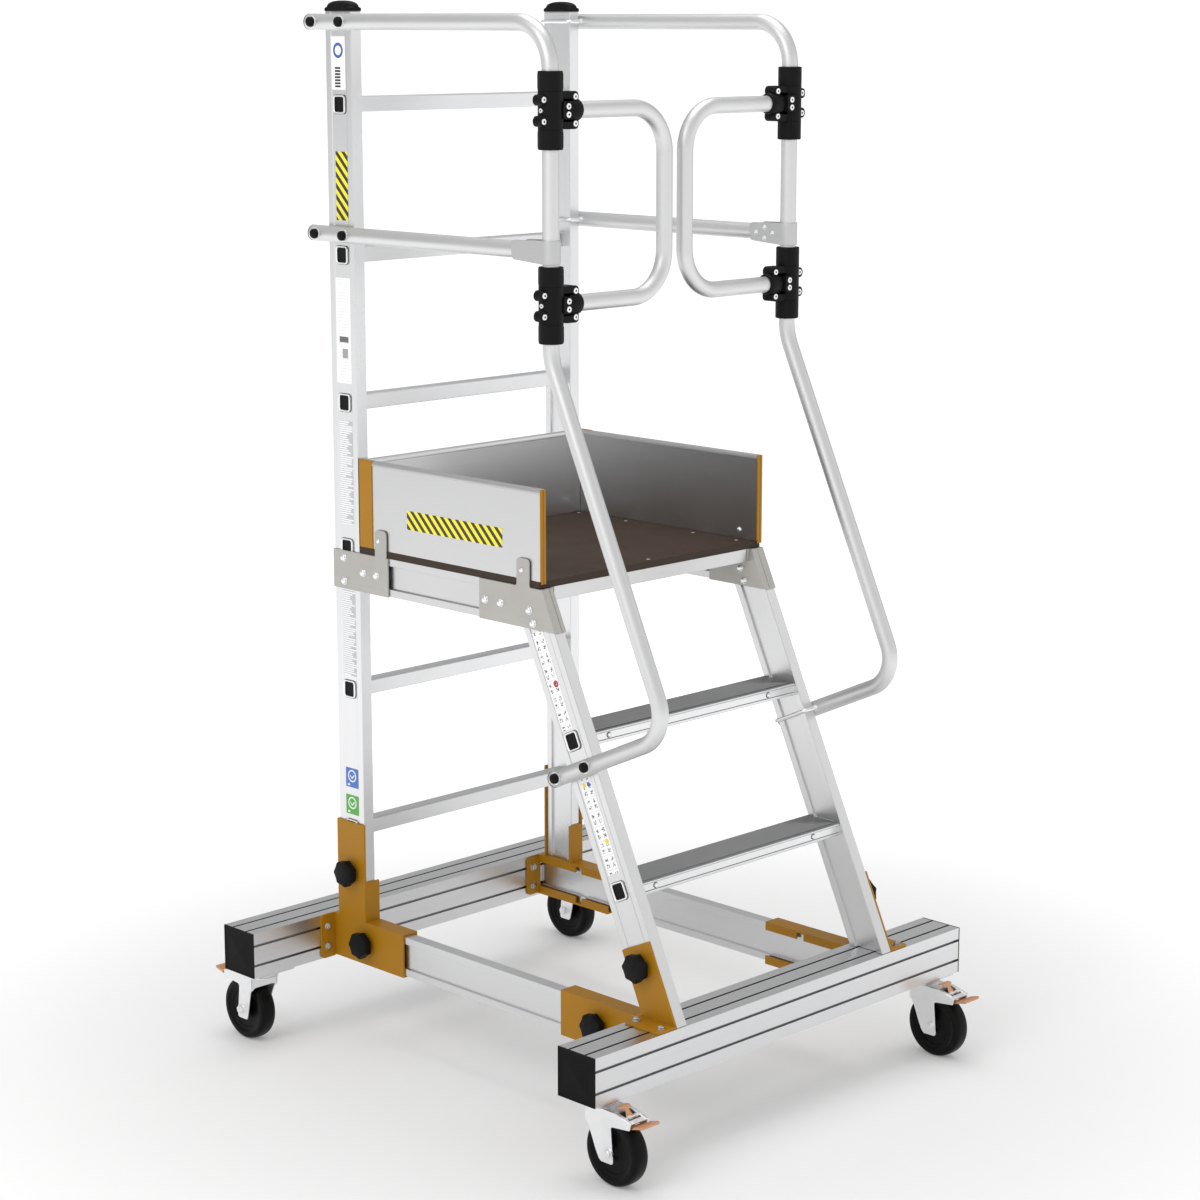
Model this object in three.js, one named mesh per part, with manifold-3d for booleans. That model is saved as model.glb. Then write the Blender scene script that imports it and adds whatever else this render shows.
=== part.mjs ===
// Mobile platform ladder: a welded-look aluminium podium ladder on four braked swivel castors.
// Units are millimetres. +X is the climber's right, +Y is toward the upright rear frame, +Z is up.
// The origin is the centre of the footprint on the floor.
import * as THREE from "three";
import { mergeVertices } from "three/addons/utils/BufferGeometryUtils.js";
import Module from "manifold-3d";

const wasm = await Module();
wasm.setup();

// ---------------------------------------------------------------- driving dimensions
const GAP = 0.3; // clearance kept between neighbouring pieces

// base beams, across the ladder
const BEAM_HALF = 500;
const BEAM_SIZE = 90;
const BEAM_Y = 470; // centre of each beam, front at -Y and rear at +Y
const BEAM_BOTTOM = 155;
const BEAM_TOP = BEAM_BOTTOM + BEAM_SIZE;
const BEAM_MID = BEAM_BOTTOM + BEAM_SIZE / 2;
const GROOVE_OFFSET = 20;
const GROOVE_WIDTH = 5;
const GROOVE_DEPTH = 7;
const CAP_THICK = 2;
const CAP_PEAK = 3.5;

// side plane shared by stiles, rails and platform members
const OUTER_X = 295;
const PROFILE_THICK = 25;
const INNER_X = OUTER_X - PROFILE_THICK;
const PROFILE_WIDTH = 73;
const LIP = 14.5; // width of the raised edge of the extruded profile
const OUTER_RECESS = 5;
const INNER_RECESS = 4;
const FACE_RECESS = 1.2;

// rear upright frame
const REAR_STILE_Y = 332;
const REAR_STILE_BACK = REAR_STILE_Y + PROFILE_WIDTH;
const REAR_MID_Y = REAR_STILE_Y + PROFILE_WIDTH / 2;
const REAR_STILE_TOP = 1999;
const RUNG_FIRST_Z = 429;
const RUNG_PITCH = 280;
const RUNG_COUNT = 6;
const RUNG_SIZE = 29;
const STILE_CAP_HEIGHT = 20;

// inclined front ladder; every Y below is where the face crosses the top of the front beam
const LEAN = 0.464; // run in Y for each unit of rise
const FRONT_FACE_Y = -513;
const BACK_FACE_Y = -431.4;
const STILE_TOP_Z = 983.2;
const TREAD_DEPTH = 82;
const TREAD_HEIGHT = 26;
const TREADS = [
  { name: "tread_lower", top: 482, back: -319 },
  { name: "tread_upper", top: 737, back: -201 },
];

// platform
const BOARD_TOP = 996;
const BOARD_THICK = 12.4;
const BOARD_FRONT_Y = -166;
const BOARD_REAR_Y = 331.5;
const DECK_RAISE = 0.3;
const DECK_MARGIN = 2.5;
const MEMBER_TOP = 983.2;
const MEMBER_BOTTOM = 909.5;
const TOE_TOP = 1164;
const TOE_THICK = 12.5;
const TOE_FRONT_Y = -169.5;
const TOE_REAR_Y = 328;

// sheet-metal parts
const BRACKET_THICK = 3.7;
const PLATE_THICK = 3;
const CHANNEL_BOTTOM = 158.4;
const CHANNEL_INNER_X = 262;
const CHANNEL_LIP = 13;

// tubular rails
const TUBE_R = 15;
const RAIL_X = OUTER_X + GAP + TUBE_R;
const RAIL_REAR_Y = 432;
const RAIL_TOP_Z = 1980;
const RAIL_POST_Y = -215;
const KNEE_Z = 1589;
const POST_CORNER_Z = 1400; // where the post's axis meets the sloping run's axis
const LOW_CORNER = [-504, 776];
const LOW_END = [-218, 643.5];
const LOW_RODS = [
  [-312.5, 687.3],
  [-237.5, 652.5],
];
const BOLT_ROD_R = 3.5;

// gates
const GATE_TOP_Z = 1831;
const GATE_LOW_Z = 1496.5;
const GATE_FREE_X = 26.7;
const HINGE_R = 22;
const HINGE_HALF = 67;
const KNUCKLE_HALF = 32.5;

// castors
const CASTOR_X = 445;
const WHEEL_R = 62.5;
const WHEEL_HALF = 17;
const TRAIL = 43;
const FORK_INNER = 19.5;
const FORK_OUTER = 22.5;
const AXLE_R = 6;
const PEDAL_PIVOT = [70, 129];

// clamping knobs
const KNOB_LOBES = 7;
const KNOB_R = 26;
const KNOB_DEPTH = 20;

// ---------------------------------------------------------------- colours
const COLOURS = {
  aluminium: [0xd4d5d8, 0.38, 0.9],
  ochre: [0xb07c1e, 0.5, 0.1],
  steel: [0xb0aca6, 0.5, 0.7],
  zinc: [0xd9dbde, 0.32, 0.9],
  board: [0x4a3c34, 0.75, 0.0],
  black: [0x202022, 0.6, 0.0],
  tyre: [0x1c1c1e, 0.7, 0.0],
  copper: [0xcd966e, 0.4, 0.7],
};

const ladder = new THREE.Group();

// adds one named mesh of a colour to the ladder
function place(name, geometry, colour) {
  const [color, roughness, metalness] = COLOURS[colour];
  const mesh = new THREE.Mesh(geometry, new THREE.MeshStandardMaterial({ color, roughness, metalness }));
  mesh.name = name;
  ladder.add(mesh);
}

// ---------------------------------------------------------------- solid helpers
// a closed geometry as a solid that can be joined and cut
function solid(geometry) {
  const bare = geometry.clone();
  bare.deleteAttribute("normal");
  bare.deleteAttribute("uv");
  const merged = mergeVertices(bare, 1e-4);
  const vertProperties = new Float32Array(merged.attributes.position.array);
  const triVerts = new Uint32Array(merged.index.array);
  return new wasm.Manifold(new wasm.Mesh({ numProp: 3, vertProperties, triVerts }));
}

function geometryOf(manifold) {
  const mesh = manifold.getMesh();
  const geometry = new THREE.BufferGeometry();
  geometry.setAttribute("position", new THREE.BufferAttribute(new Float32Array(mesh.vertProperties), 3));
  geometry.setIndex(new THREE.BufferAttribute(new Uint32Array(mesh.triVerts), 1));
  geometry.computeVertexNormals();
  return geometry;
}

function join(...pieces) {
  return geometryOf(pieces.map(solid).reduce((whole, piece) => whole.add(piece)));
}

function cut(base, ...tools) {
  return geometryOf(tools.map(solid).reduce((whole, tool) => whole.subtract(tool), solid(base)));
}

// the same shape reflected in the plane X = 0, or in Y = 0
function mirror(geometry, axis = "x") {
  const copy = geometry.clone();
  copy.scale(axis === "x" ? -1 : 1, axis === "y" ? -1 : 1, 1);
  if (!copy.index) {
    copy.setIndex([...Array(copy.attributes.position.count).keys()]);
  }
  const index = copy.index.array;
  for (let i = 0; i < index.length; i += 3) {
    [index[i], index[i + 1]] = [index[i + 1], index[i]];
  }
  copy.computeVertexNormals();
  return copy;
}

function moved(geometry, x, y, z) {
  return geometry.clone().translate(x, y, z);
}

function box([x0, x1], [y0, y1], [z0, z1]) {
  const geometry = new THREE.BoxGeometry(x1 - x0, y1 - y0, z1 - z0);
  return geometry.translate((x0 + x1) / 2, (y0 + y1) / 2, (z0 + z1) / 2);
}

function flat(outline) {
  return new THREE.Shape(outline.map(([u, v]) => new THREE.Vector2(u, v)));
}

function extrude(shape, depth) {
  return new THREE.ExtrudeGeometry(shape, { depth, bevelEnabled: false, curveSegments: 8 });
}

// outline of (y, z) points pushed from x0 to x1
function alongX(outline, x0, x1) {
  const geometry = extrude(flat(outline), x1 - x0);
  geometry.rotateX(Math.PI / 2);
  geometry.rotateZ(Math.PI / 2);
  return geometry.translate(x0, 0, 0);
}

// outline of (x, z) points pushed from y0 to y1
function alongY(outline, y0, y1) {
  const geometry = extrude(flat(outline), y1 - y0);
  geometry.rotateX(Math.PI / 2);
  return geometry.translate(0, y1, 0);
}

// outline of (x, y) points pushed from z0 to z1
function alongZ(outline, z0, z1) {
  return extrude(flat(outline), z1 - z0).translate(0, 0, z0);
}

function drum(radius, x, y, z, length, axis, sides = 16) {
  const geometry = new THREE.CylinderGeometry(radius, radius, length, sides);
  if (axis === "x") {
    geometry.rotateZ(Math.PI / 2);
  }
  if (axis === "z") {
    geometry.rotateX(Math.PI / 2);
  }
  return geometry.translate(x, y, z);
}

// a rectangle centred on (u, v) with rounded corners, as outline points
function roundedOutline(u, v, width, height, radius, steps = 4) {
  const points = [];
  const centres = [
    [width / 2 - radius, height / 2 - radius],
    [radius - width / 2, height / 2 - radius],
    [radius - width / 2, radius - height / 2],
    [width / 2 - radius, radius - height / 2],
  ];
  centres.forEach(([cu, cv], quarter) => {
    for (let i = 0; i <= steps; i += 1) {
      const angle = (quarter + i / steps) * (Math.PI / 2);
      points.push([u + cu + radius * Math.cos(angle), v + cv + radius * Math.sin(angle)]);
    }
  });
  return points;
}

// ---------------------------------------------------------------- bent tubes
// a path through given knots, one extrusion step between each pair
class KnotPath extends THREE.Curve {
  constructor(knots) {
    super();
    this.knots = knots;
  }
  getPoint(t, target = new THREE.Vector3()) {
    const last = this.knots.length - 1;
    const place = Math.min(t, 1) * last;
    const index = Math.min(Math.floor(place + 1e-9), last - 1);
    return target.lerpVectors(this.knots[index], this.knots[index + 1], place - index);
  }
  getPointAt(u, target) {
    return this.getPoint(u, target);
  }
  getTangentAt(u, target = new THREE.Vector3()) {
    const last = this.knots.length - 1;
    const index = Math.round(u * last);
    const after = this.knots[Math.min(index + 1, last)].clone().sub(this.knots[index]).normalize();
    const before = this.knots[index].clone().sub(this.knots[Math.max(index - 1, 0)]).normalize();
    return target.copy(after).add(before).normalize();
  }
}

// knots of a polyline whose inner corners are rounded to the given radii
function bentKnots(corners, radii, stepsPerBend) {
  const knots = [corners[0].clone()];
  for (let i = 1; i < corners.length - 1; i += 1) {
    const back = corners[i - 1].clone().sub(corners[i]).normalize();
    const on = corners[i + 1].clone().sub(corners[i]).normalize();
    const half = back.angleTo(on) / 2;
    const reach = radii[i - 1] / Math.tan(half);
    const centre = back.clone().add(on).normalize().multiplyScalar(radii[i - 1] / Math.sin(half)).add(corners[i]);
    const from = corners[i].clone().addScaledVector(back, reach).sub(centre);
    const to = corners[i].clone().addScaledVector(on, reach).sub(centre);
    const sweep = from.angleTo(to);
    for (let step = 0; step <= stepsPerBend; step += 1) {
      const share = step / stepsPerBend;
      const a = Math.sin((1 - share) * sweep) / Math.sin(sweep);
      const b = Math.sin(share * sweep) / Math.sin(sweep);
      knots.push(centre.clone().addScaledVector(from, a).addScaledVector(to, b));
    }
  }
  knots.push(corners[corners.length - 1].clone());
  return knots;
}

function tube(corners, radii, radius = TUBE_R, sides = 12, stepsPerBend = 5) {
  const knots = bentKnots(corners, radii, stepsPerBend);
  const ring = [];
  for (let i = 0; i < sides; i += 1) {
    const angle = (i / sides) * 2 * Math.PI;
    ring.push([radius * Math.cos(angle), radius * Math.sin(angle)]);
  }
  return new THREE.ExtrudeGeometry(flat(ring), { steps: knots.length - 1, extrudePath: new KnotPath(knots) });
}

// ---------------------------------------------------------------- base
// square section with two grooves in each face, centred on (y, z)
function beamOutline(y, z) {
  const h = BEAM_SIZE / 2;
  const side = [[-h, h]];
  for (const centre of [-GROOVE_OFFSET, GROOVE_OFFSET]) {
    const left = centre - GROOVE_WIDTH / 2;
    const right = centre + GROOVE_WIDTH / 2;
    side.push([left, h], [left, h - GROOVE_DEPTH], [right, h - GROOVE_DEPTH], [right, h]);
  }
  const outline = [];
  for (let turn = 0; turn < 4; turn += 1) {
    for (const [u, v] of side) {
      const angle = (-turn * Math.PI) / 2;
      const ru = u * Math.cos(angle) - v * Math.sin(angle);
      const rv = u * Math.sin(angle) + v * Math.cos(angle);
      outline.push([y + ru, z + rv]);
    }
  }
  return outline;
}

// flat-topped pyramid that closes a beam's end
function endCap(side, y) {
  const h = BEAM_SIZE / 2 - 0.5;
  const plate = box([0, CAP_THICK], [-h, h], [-h, h]);
  const peak = new THREE.CylinderGeometry(2, h * Math.SQRT2 * 0.9, CAP_PEAK - CAP_THICK + 0.5, 4);
  peak.rotateY(Math.PI / 4);
  peak.rotateZ(-Math.PI / 2);
  peak.translate((CAP_PEAK + CAP_THICK - 0.5) / 2, 0, 0);
  const cap = join(plate, peak).translate(BEAM_HALF - 0.01, y, BEAM_MID);
  return side < 0 ? mirror(cap) : cap;
}

function castorPlate(x, y) {
  return alongZ(roundedOutline(x, y, 100, 84, 8), BEAM_BOTTOM - 4, BEAM_BOTTOM + 0.5);
}

for (const [name, y] of [["front_beam", -BEAM_Y], ["rear_beam", BEAM_Y]]) {
  const extrusion = alongX(beamOutline(y, BEAM_MID), -BEAM_HALF, BEAM_HALF);
  const caps = [endCap(-1, y), endCap(1, y)];
  const plates = [castorPlate(-CASTOR_X, y), castorPlate(CASTOR_X, y)];
  place(name, join(extrusion, ...caps, ...plates), "aluminium");
}

// lipped section: the left side's outer face looks toward -X; u runs across, v along the width
function lippedOutline(width, outerRecess, innerRecess) {
  return [
    [-OUTER_X, 0],
    [-INNER_X, 0],
    [-INNER_X, LIP],
    [-INNER_X - innerRecess, LIP + 1],
    [-INNER_X - innerRecess, width - LIP - 1],
    [-INNER_X, width - LIP],
    [-INNER_X, width],
    [-OUTER_X, width],
    [-OUTER_X, width - LIP],
    [-OUTER_X + outerRecess, width - LIP - 1],
    [-OUTER_X + outerRecess, LIP + 1],
    [-OUTER_X, LIP],
  ];
}

const RAIL_BOTTOM = CHANNEL_BOTTOM + BRACKET_THICK + GAP;
const RAIL_HEIGHT = BEAM_TOP - BRACKET_THICK - GAP - RAIL_BOTTOM;
const beamFace = BEAM_Y - BEAM_SIZE / 2 - GAP;
const railOutline = lippedOutline(RAIL_HEIGHT, OUTER_RECESS, INNER_RECESS).map(([x, v]) => [x, v + RAIL_BOTTOM]);
const sideRail = alongY(railOutline, -beamFace, beamFace);
place("side_rail_left", sideRail, "aluminium");
place("side_rail_right", mirror(sideRail), "aluminium");

// ---------------------------------------------------------------- rear frame
const rearOutline = lippedOutline(PROFILE_WIDTH, FACE_RECESS, INNER_RECESS).map(([x, v]) => [x, v + REAR_STILE_Y]);
const rearStile = alongZ(rearOutline, BEAM_TOP + GAP, REAR_STILE_TOP);
place("rear_stile_left", rearStile, "aluminium");
place("rear_stile_right", mirror(rearStile), "aluminium");

const capX = -(OUTER_X + INNER_X) / 2;
const capBase = alongZ(
  roundedOutline(capX, REAR_MID_Y, PROFILE_THICK + 6, PROFILE_WIDTH + 6, 8),
  REAR_STILE_TOP + GAP,
  REAR_STILE_TOP + 8,
);
const capDome = new THREE.ExtrudeGeometry(flat(roundedOutline(0, 0, PROFILE_THICK - 6, PROFILE_WIDTH - 10, 6)), {
  depth: STILE_CAP_HEIGHT - 14,
  bevelThickness: 6,
  bevelSize: 4,
  bevelSegments: 3,
  curveSegments: 4,
}).translate(capX, REAR_MID_Y, REAR_STILE_TOP + 8);
const stileCap = join(capBase, capDome);
place("stile_cap_left", stileCap, "black");
place("stile_cap_right", mirror(stileCap), "black");

// square rung with a ribbed, slightly narrower top
for (let i = 0; i < RUNG_COUNT; i += 1) {
  const z = RUNG_FIRST_Z + i * RUNG_PITCH;
  const h = RUNG_SIZE / 2;
  const outline = [
    [REAR_MID_Y - h, z - h],
    [REAR_MID_Y + h, z - h],
    [REAR_MID_Y + h, z + h - 2],
    [REAR_MID_Y + h - 3, z + h],
    [REAR_MID_Y + 5, z + h],
    [REAR_MID_Y + 4, z + h - 1.2],
    [REAR_MID_Y - 4, z + h - 1.2],
    [REAR_MID_Y - 5, z + h],
    [REAR_MID_Y - h + 3, z + h],
    [REAR_MID_Y - h, z + h - 2],
  ];
  place(`rung_${i + 1}`, alongX(outline, -INNER_X + GAP, INNER_X - GAP), "aluminium");
}

// ---------------------------------------------------------------- front ladder
const frontY = (z) => FRONT_FACE_Y + LEAN * (z - BEAM_TOP);
const backY = (z) => BACK_FACE_Y + LEAN * (z - BEAM_TOP);
const acrossLean = (LIP * (BACK_FACE_Y - FRONT_FACE_Y)) / PROFILE_WIDTH;

// band of the inclined profile between two heights, inset from both faces
function leaningBand(inset, low, high) {
  return [
    [frontY(low) + inset, low],
    [backY(low) - inset, low],
    [backY(high) - inset, high],
    [frontY(high) + inset, high],
  ];
}

const frontStile = cut(
  alongX(leaningBand(0, BEAM_TOP + GAP, STILE_TOP_Z), -OUTER_X, -INNER_X),
  alongX(leaningBand(acrossLean, BEAM_TOP - 50, STILE_TOP_Z + 50), -INNER_X - INNER_RECESS, -INNER_X + 5),
  alongX(leaningBand(acrossLean, BEAM_TOP - 50, STILE_TOP_Z + 50), -OUTER_X - 5, -OUTER_X + FACE_RECESS),
);
place("front_stile_left", frontStile, "aluminium");
place("front_stile_right", mirror(frontStile), "aluminium");

// channel-shaped tread, open below, ribbed on top, with a rolled front nose
for (const { name, top, back } of TREADS) {
  const front = back - TREAD_DEPTH;
  const wall = 4;
  const outline = [
    [back, top - TREAD_HEIGHT],
    [back, top - 1.5],
  ];
  const ribs = 7;
  const pitch = (TREAD_DEPTH - 12) / ribs;
  for (let i = 0; i < ribs; i += 1) {
    const start = back - 4 - i * pitch;
    outline.push([start, top - 1.5], [start - 1, top], [start - pitch * 0.55, top], [start - pitch * 0.55 - 1, top - 1.5]);
  }
  outline.push(
    [front + 5, top - 1.5],
    [front + 4, top],
    [front + 1.5, top],
    [front, top - 1.5],
    [front, top - 6],
    [front + 3, top - 9],
    [front + 3, top - TREAD_HEIGHT + 3],
    [front, top - TREAD_HEIGHT],
    [front + 3 + wall, top - TREAD_HEIGHT],
    [front + 3 + wall, top - 1.5 - wall],
    [back - wall, top - 1.5 - wall],
    [back - wall, top - TREAD_HEIGHT],
  );
  place(name, alongX(outline, -INNER_X + GAP, INNER_X - GAP), "aluminium");
}

// ---------------------------------------------------------------- platform
// the walking surface stands a little above the seats of the toe boards
const panel = box([-OUTER_X, OUTER_X], [BOARD_FRONT_Y, BOARD_REAR_Y], [BOARD_TOP - BOARD_THICK, BOARD_TOP]);
const deckX = OUTER_X - TOE_THICK - DECK_MARGIN;
const deckRear = TOE_REAR_Y - TOE_THICK - DECK_MARGIN;
const deck = box([-deckX, deckX], [BOARD_FRONT_Y, deckRear], [BOARD_TOP - 1, BOARD_TOP + DECK_RAISE]);
place("platform_board", join(panel, deck), "board");

const memberOutline = lippedOutline(MEMBER_TOP - MEMBER_BOTTOM, OUTER_RECESS, INNER_RECESS);
const memberBlank = alongY(memberOutline.map(([x, v]) => [x, v + MEMBER_BOTTOM]), -300, REAR_STILE_Y - GAP);
const mitre = alongX(
  [
    [-400, MEMBER_BOTTOM - 20],
    [backY(MEMBER_BOTTOM - 20) + GAP + 0.1, MEMBER_BOTTOM - 20],
    [backY(MEMBER_TOP + 20) + GAP + 0.1, MEMBER_TOP + 20],
    [-400, MEMBER_TOP + 20],
  ],
  -OUTER_X - 10,
  -INNER_X + 10,
);
const sideMember = cut(memberBlank, mitre);
place("platform_side_member_left", sideMember, "aluminium");
place("platform_side_member_right", mirror(sideMember), "aluminium");

const crossX = INNER_X - 12.5;
const crossFront = BOARD_FRONT_Y + 0.5;
const frontMember = alongX(
  [
    [crossFront, MEMBER_TOP - 25],
    [crossFront + 25, MEMBER_TOP - 25],
    [crossFront + 25, MEMBER_TOP - 21],
    [crossFront + 4, MEMBER_TOP - 21],
    [crossFront + 4, MEMBER_TOP - 4],
    [crossFront + 25, MEMBER_TOP - 4],
    [crossFront + 25, MEMBER_TOP],
    [crossFront, MEMBER_TOP],
  ],
  -crossX,
  crossX,
);
place("platform_front_member", frontMember, "aluminium");
const rearMember = box([-INNER_X + GAP, INNER_X - GAP], [282, 322], [MEMBER_TOP - 40, MEMBER_TOP]);
place("platform_rear_member", rearMember, "aluminium");

const toeLow = BOARD_TOP + GAP;
const toeSide = box([-OUTER_X, -OUTER_X + TOE_THICK], [TOE_FRONT_Y, TOE_REAR_Y], [toeLow, TOE_TOP]);
place("toe_board_left", toeSide, "aluminium");
place("toe_board_right", mirror(toeSide), "aluminium");
const toeSpan = OUTER_X - TOE_THICK - GAP;
place("toe_board_rear", box([-toeSpan, toeSpan], [TOE_REAR_Y - TOE_THICK, TOE_REAR_Y], [toeLow, TOE_TOP]), "aluminium");

// steel corner plates, outer face at PLATE_X
const PLATE_X = OUTER_X + GAP + PLATE_THICK;
const PLATE_BOTTOM = 908;
const PLATE_TOP = 983;
const TAB_TOP = 1035;
const TAB_WIDTH = 33;

// rounded-top tab whose left edge is at y
function tabOutline(y) {
  const r = 9;
  const points = [[y, PLATE_TOP - 20], [y + TAB_WIDTH, PLATE_TOP - 20]];
  for (const [cy, from] of [[y + TAB_WIDTH - r, 0], [y + r, 1]]) {
    for (let i = 0; i <= 4; i += 1) {
      const angle = ((from + i / 4) * Math.PI) / 2;
      points.push([cy + r * Math.cos(angle), TAB_TOP - r + r * Math.sin(angle)]);
    }
  }
  return points;
}

const rearPlate = join(
  box([-PLATE_X, -PLATE_X + PLATE_THICK], [246, 406], [PLATE_BOTTOM, PLATE_TOP]),
  alongX(tabOutline(250), -PLATE_X, -PLATE_X + PLATE_THICK),
);
place("corner_plate_rear_left", rearPlate, "steel");
place("corner_plate_rear_right", mirror(rearPlate), "steel");

// plate that folds round the front stile's face and back along its inner side
const wrapGap = (GAP + 0.1) * Math.hypot(1, LEAN);
const wrapThick = PLATE_THICK * Math.hypot(1, LEAN);
const wrapOuter = (z) => frontY(z) - wrapGap - wrapThick;
const wrapInner = (z) => frontY(z) - wrapGap;
const plateOutline = [
  [-10, PLATE_BOTTOM],
  [-10, PLATE_TOP],
  [wrapOuter(PLATE_TOP), PLATE_TOP],
  [wrapOuter(PLATE_BOTTOM), PLATE_BOTTOM],
];
const wrapOutline = [
  [wrapInner(PLATE_TOP), PLATE_TOP],
  [wrapOuter(PLATE_TOP), PLATE_TOP],
  [wrapOuter(PLATE_BOTTOM), PLATE_BOTTOM],
  [wrapInner(PLATE_BOTTOM), PLATE_BOTTOM],
];
const innerOutline = plateOutline.map(([y, z], i) => (i < 2 ? [-60, z] : [y, z]));
const frontPlate = join(
  alongX(plateOutline, -PLATE_X, -PLATE_X + PLATE_THICK),
  alongX(tabOutline(-143), -PLATE_X, -PLATE_X + PLATE_THICK),
  alongX(wrapOutline, -PLATE_X, -INNER_X + GAP + PLATE_THICK),
  alongX(innerOutline, -INNER_X + GAP, -INNER_X + GAP + PLATE_THICK),
);
place("corner_plate_front_left", frontPlate, "steel");
place("corner_plate_front_right", mirror(frontPlate), "steel");

// ---------------------------------------------------------------- clamping brackets
const WEB_X = OUTER_X + GAP + BRACKET_THICK;
const web = [-WEB_X, -OUTER_X - GAP];
const lipX = [-CHANNEL_INNER_X - BRACKET_THICK, -CHANNEL_INNER_X];

// C-channel that holds the side rail between two positions along Y, notched at one place
function railChannel(y0, y1, notch) {
  const across = [-WEB_X, -CHANNEL_INNER_X];
  const lips = [
    box(lipX, [y0, y1], [BEAM_TOP - CHANNEL_LIP - BRACKET_THICK, BEAM_TOP]),
    box(lipX, [y0, y1], [CHANNEL_BOTTOM, CHANNEL_BOTTOM + CHANNEL_LIP + BRACKET_THICK]),
  ];
  const channel = join(
    box(web, [y0, y1], [CHANNEL_BOTTOM, BEAM_TOP]),
    box(across, [y0, y1], [BEAM_TOP - BRACKET_THICK, BEAM_TOP]),
    box(across, [y0, y1], [CHANNEL_BOTTOM, CHANNEL_BOTTOM + BRACKET_THICK]),
    ...lips,
  );
  const slot = [notch - 9, notch + 9];
  return cut(
    channel,
    box([lipX[0] - 2, lipX[1] + 2], slot, [BEAM_TOP - CHANNEL_LIP - BRACKET_THICK - 1, BEAM_TOP - BRACKET_THICK]),
    box([lipX[0] - 2, lipX[1] + 2], slot, [CHANNEL_BOTTOM + BRACKET_THICK, CHANNEL_BOTTOM + CHANNEL_LIP + 5]),
  );
}

const SOCKET_TOP = 442;
const SOCKET_FRONT_TOP = 325;
const rearFlange = [beamFace - BRACKET_THICK, beamFace];
const rearBracket = join(
  railChannel(216.5, beamFace, 303),
  box(web, [REAR_STILE_Y - GAP - BRACKET_THICK, REAR_STILE_BACK + GAP + BRACKET_THICK], [CHANNEL_BOTTOM, SOCKET_TOP]),
  box(
    [-WEB_X, -CHANNEL_INNER_X],
    [REAR_STILE_Y - GAP - BRACKET_THICK, REAR_STILE_Y - GAP],
    [BEAM_TOP - 1, SOCKET_FRONT_TOP],
  ),
  box(
    [-WEB_X, -CHANNEL_INNER_X - 4],
    [REAR_STILE_BACK + GAP, REAR_STILE_BACK + GAP + BRACKET_THICK],
    [BEAM_TOP - 1, SOCKET_TOP],
  ),
  alongY(roundedOutline(-WEB_X - 16, BEAM_MID + 1, 39, 90, 8), ...rearFlange),
  alongY(roundedOutline(-CHANNEL_INNER_X + 15.7, BEAM_MID + 1, 38, 80, 8), ...rearFlange),
);
place("rear_bracket_left", rearBracket, "ochre");
place("rear_bracket_right", mirror(rearBracket), "ochre");

// front bracket: rail channel, plate up the inclined stile and a foot on the beam's top
const leanUnit = new THREE.Vector2(LEAN, 1).normalize();
const plateLength = 159;
const footLow = BEAM_TOP + GAP;
const upFront = [frontY(footLow) + leanUnit.x * plateLength, footLow + leanUnit.y * plateLength];
const upBack = [
  upFront[0] + leanUnit.y * PROFILE_WIDTH,
  upFront[1] - leanUnit.x * PROFILE_WIDTH,
];
const stilePlate = [
  [frontY(footLow), footLow],
  [backY(footLow) - 2, footLow],
  [-beamFace + 12, CHANNEL_BOTTOM + 70],
  [-beamFace + 12, footLow],
  [backY(footLow) + 3, footLow + 8],
  upBack,
  [upBack[0] - leanUnit.y * 8, upBack[1] + leanUnit.x * 8 + 1],
  [upFront[0] + leanUnit.y * 8, upFront[1] - leanUnit.x * 8 + 1],
  upFront,
];
// the plate's outline runs over the beam's top edge without touching the beam
const plateBody = cut(
  alongX([stilePlate[0], [-beamFace + 12, footLow], ...stilePlate.slice(4)], ...web),
  box([-400, 400], [-beamFace - BEAM_SIZE - 10, -beamFace], [BEAM_BOTTOM, footLow]),
);
const frontBracket = join(
  railChannel(-beamFace, -222.5, -312),
  box(web, [-beamFace, -beamFace + 12], [CHANNEL_BOTTOM, footLow + 1]),
  plateBody,
  alongZ(
    roundedOutline(-WEB_X - 20, (frontY(footLow) - beamFace - 4) / 2, 48, 86, 6),
    footLow,
    footLow + BRACKET_THICK,
  ),
);
place("front_bracket_left", frontBracket, "ochre");
place("front_bracket_right", mirror(frontBracket), "ochre");

// ---------------------------------------------------------------- handrails and knee rails
const at = (y, z) => new THREE.Vector3(-RAIL_X, y, z);

function collar(z0, z1) {
  return drum(HINGE_R, -RAIL_X, RAIL_POST_Y, (z0 + z1) / 2, z1 - z0, "z");
}

// bent rod that ties a rail to its stile: both legs pass through the rail
function rodLoop([y0, z0], [y1, z1]) {
  const outer = -RAIL_X - TUBE_R - 2;
  const inner = -INNER_X + 3 * GAP + BOLT_ROD_R;
  const bend = 6;
  const loop = [
    new THREE.Vector3(outer, y0, z0),
    new THREE.Vector3(inner, y0, z0),
    new THREE.Vector3(inner, y1, z1),
    new THREE.Vector3(outer, y1, z1),
  ];
  return tube(loop, [bend, bend], BOLT_ROD_R, 6, 2);
}

const rodNear = REAR_STILE_Y - GAP - BOLT_ROD_R;
const rodFar = REAR_STILE_BACK + GAP + BOLT_ROD_R;

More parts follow.
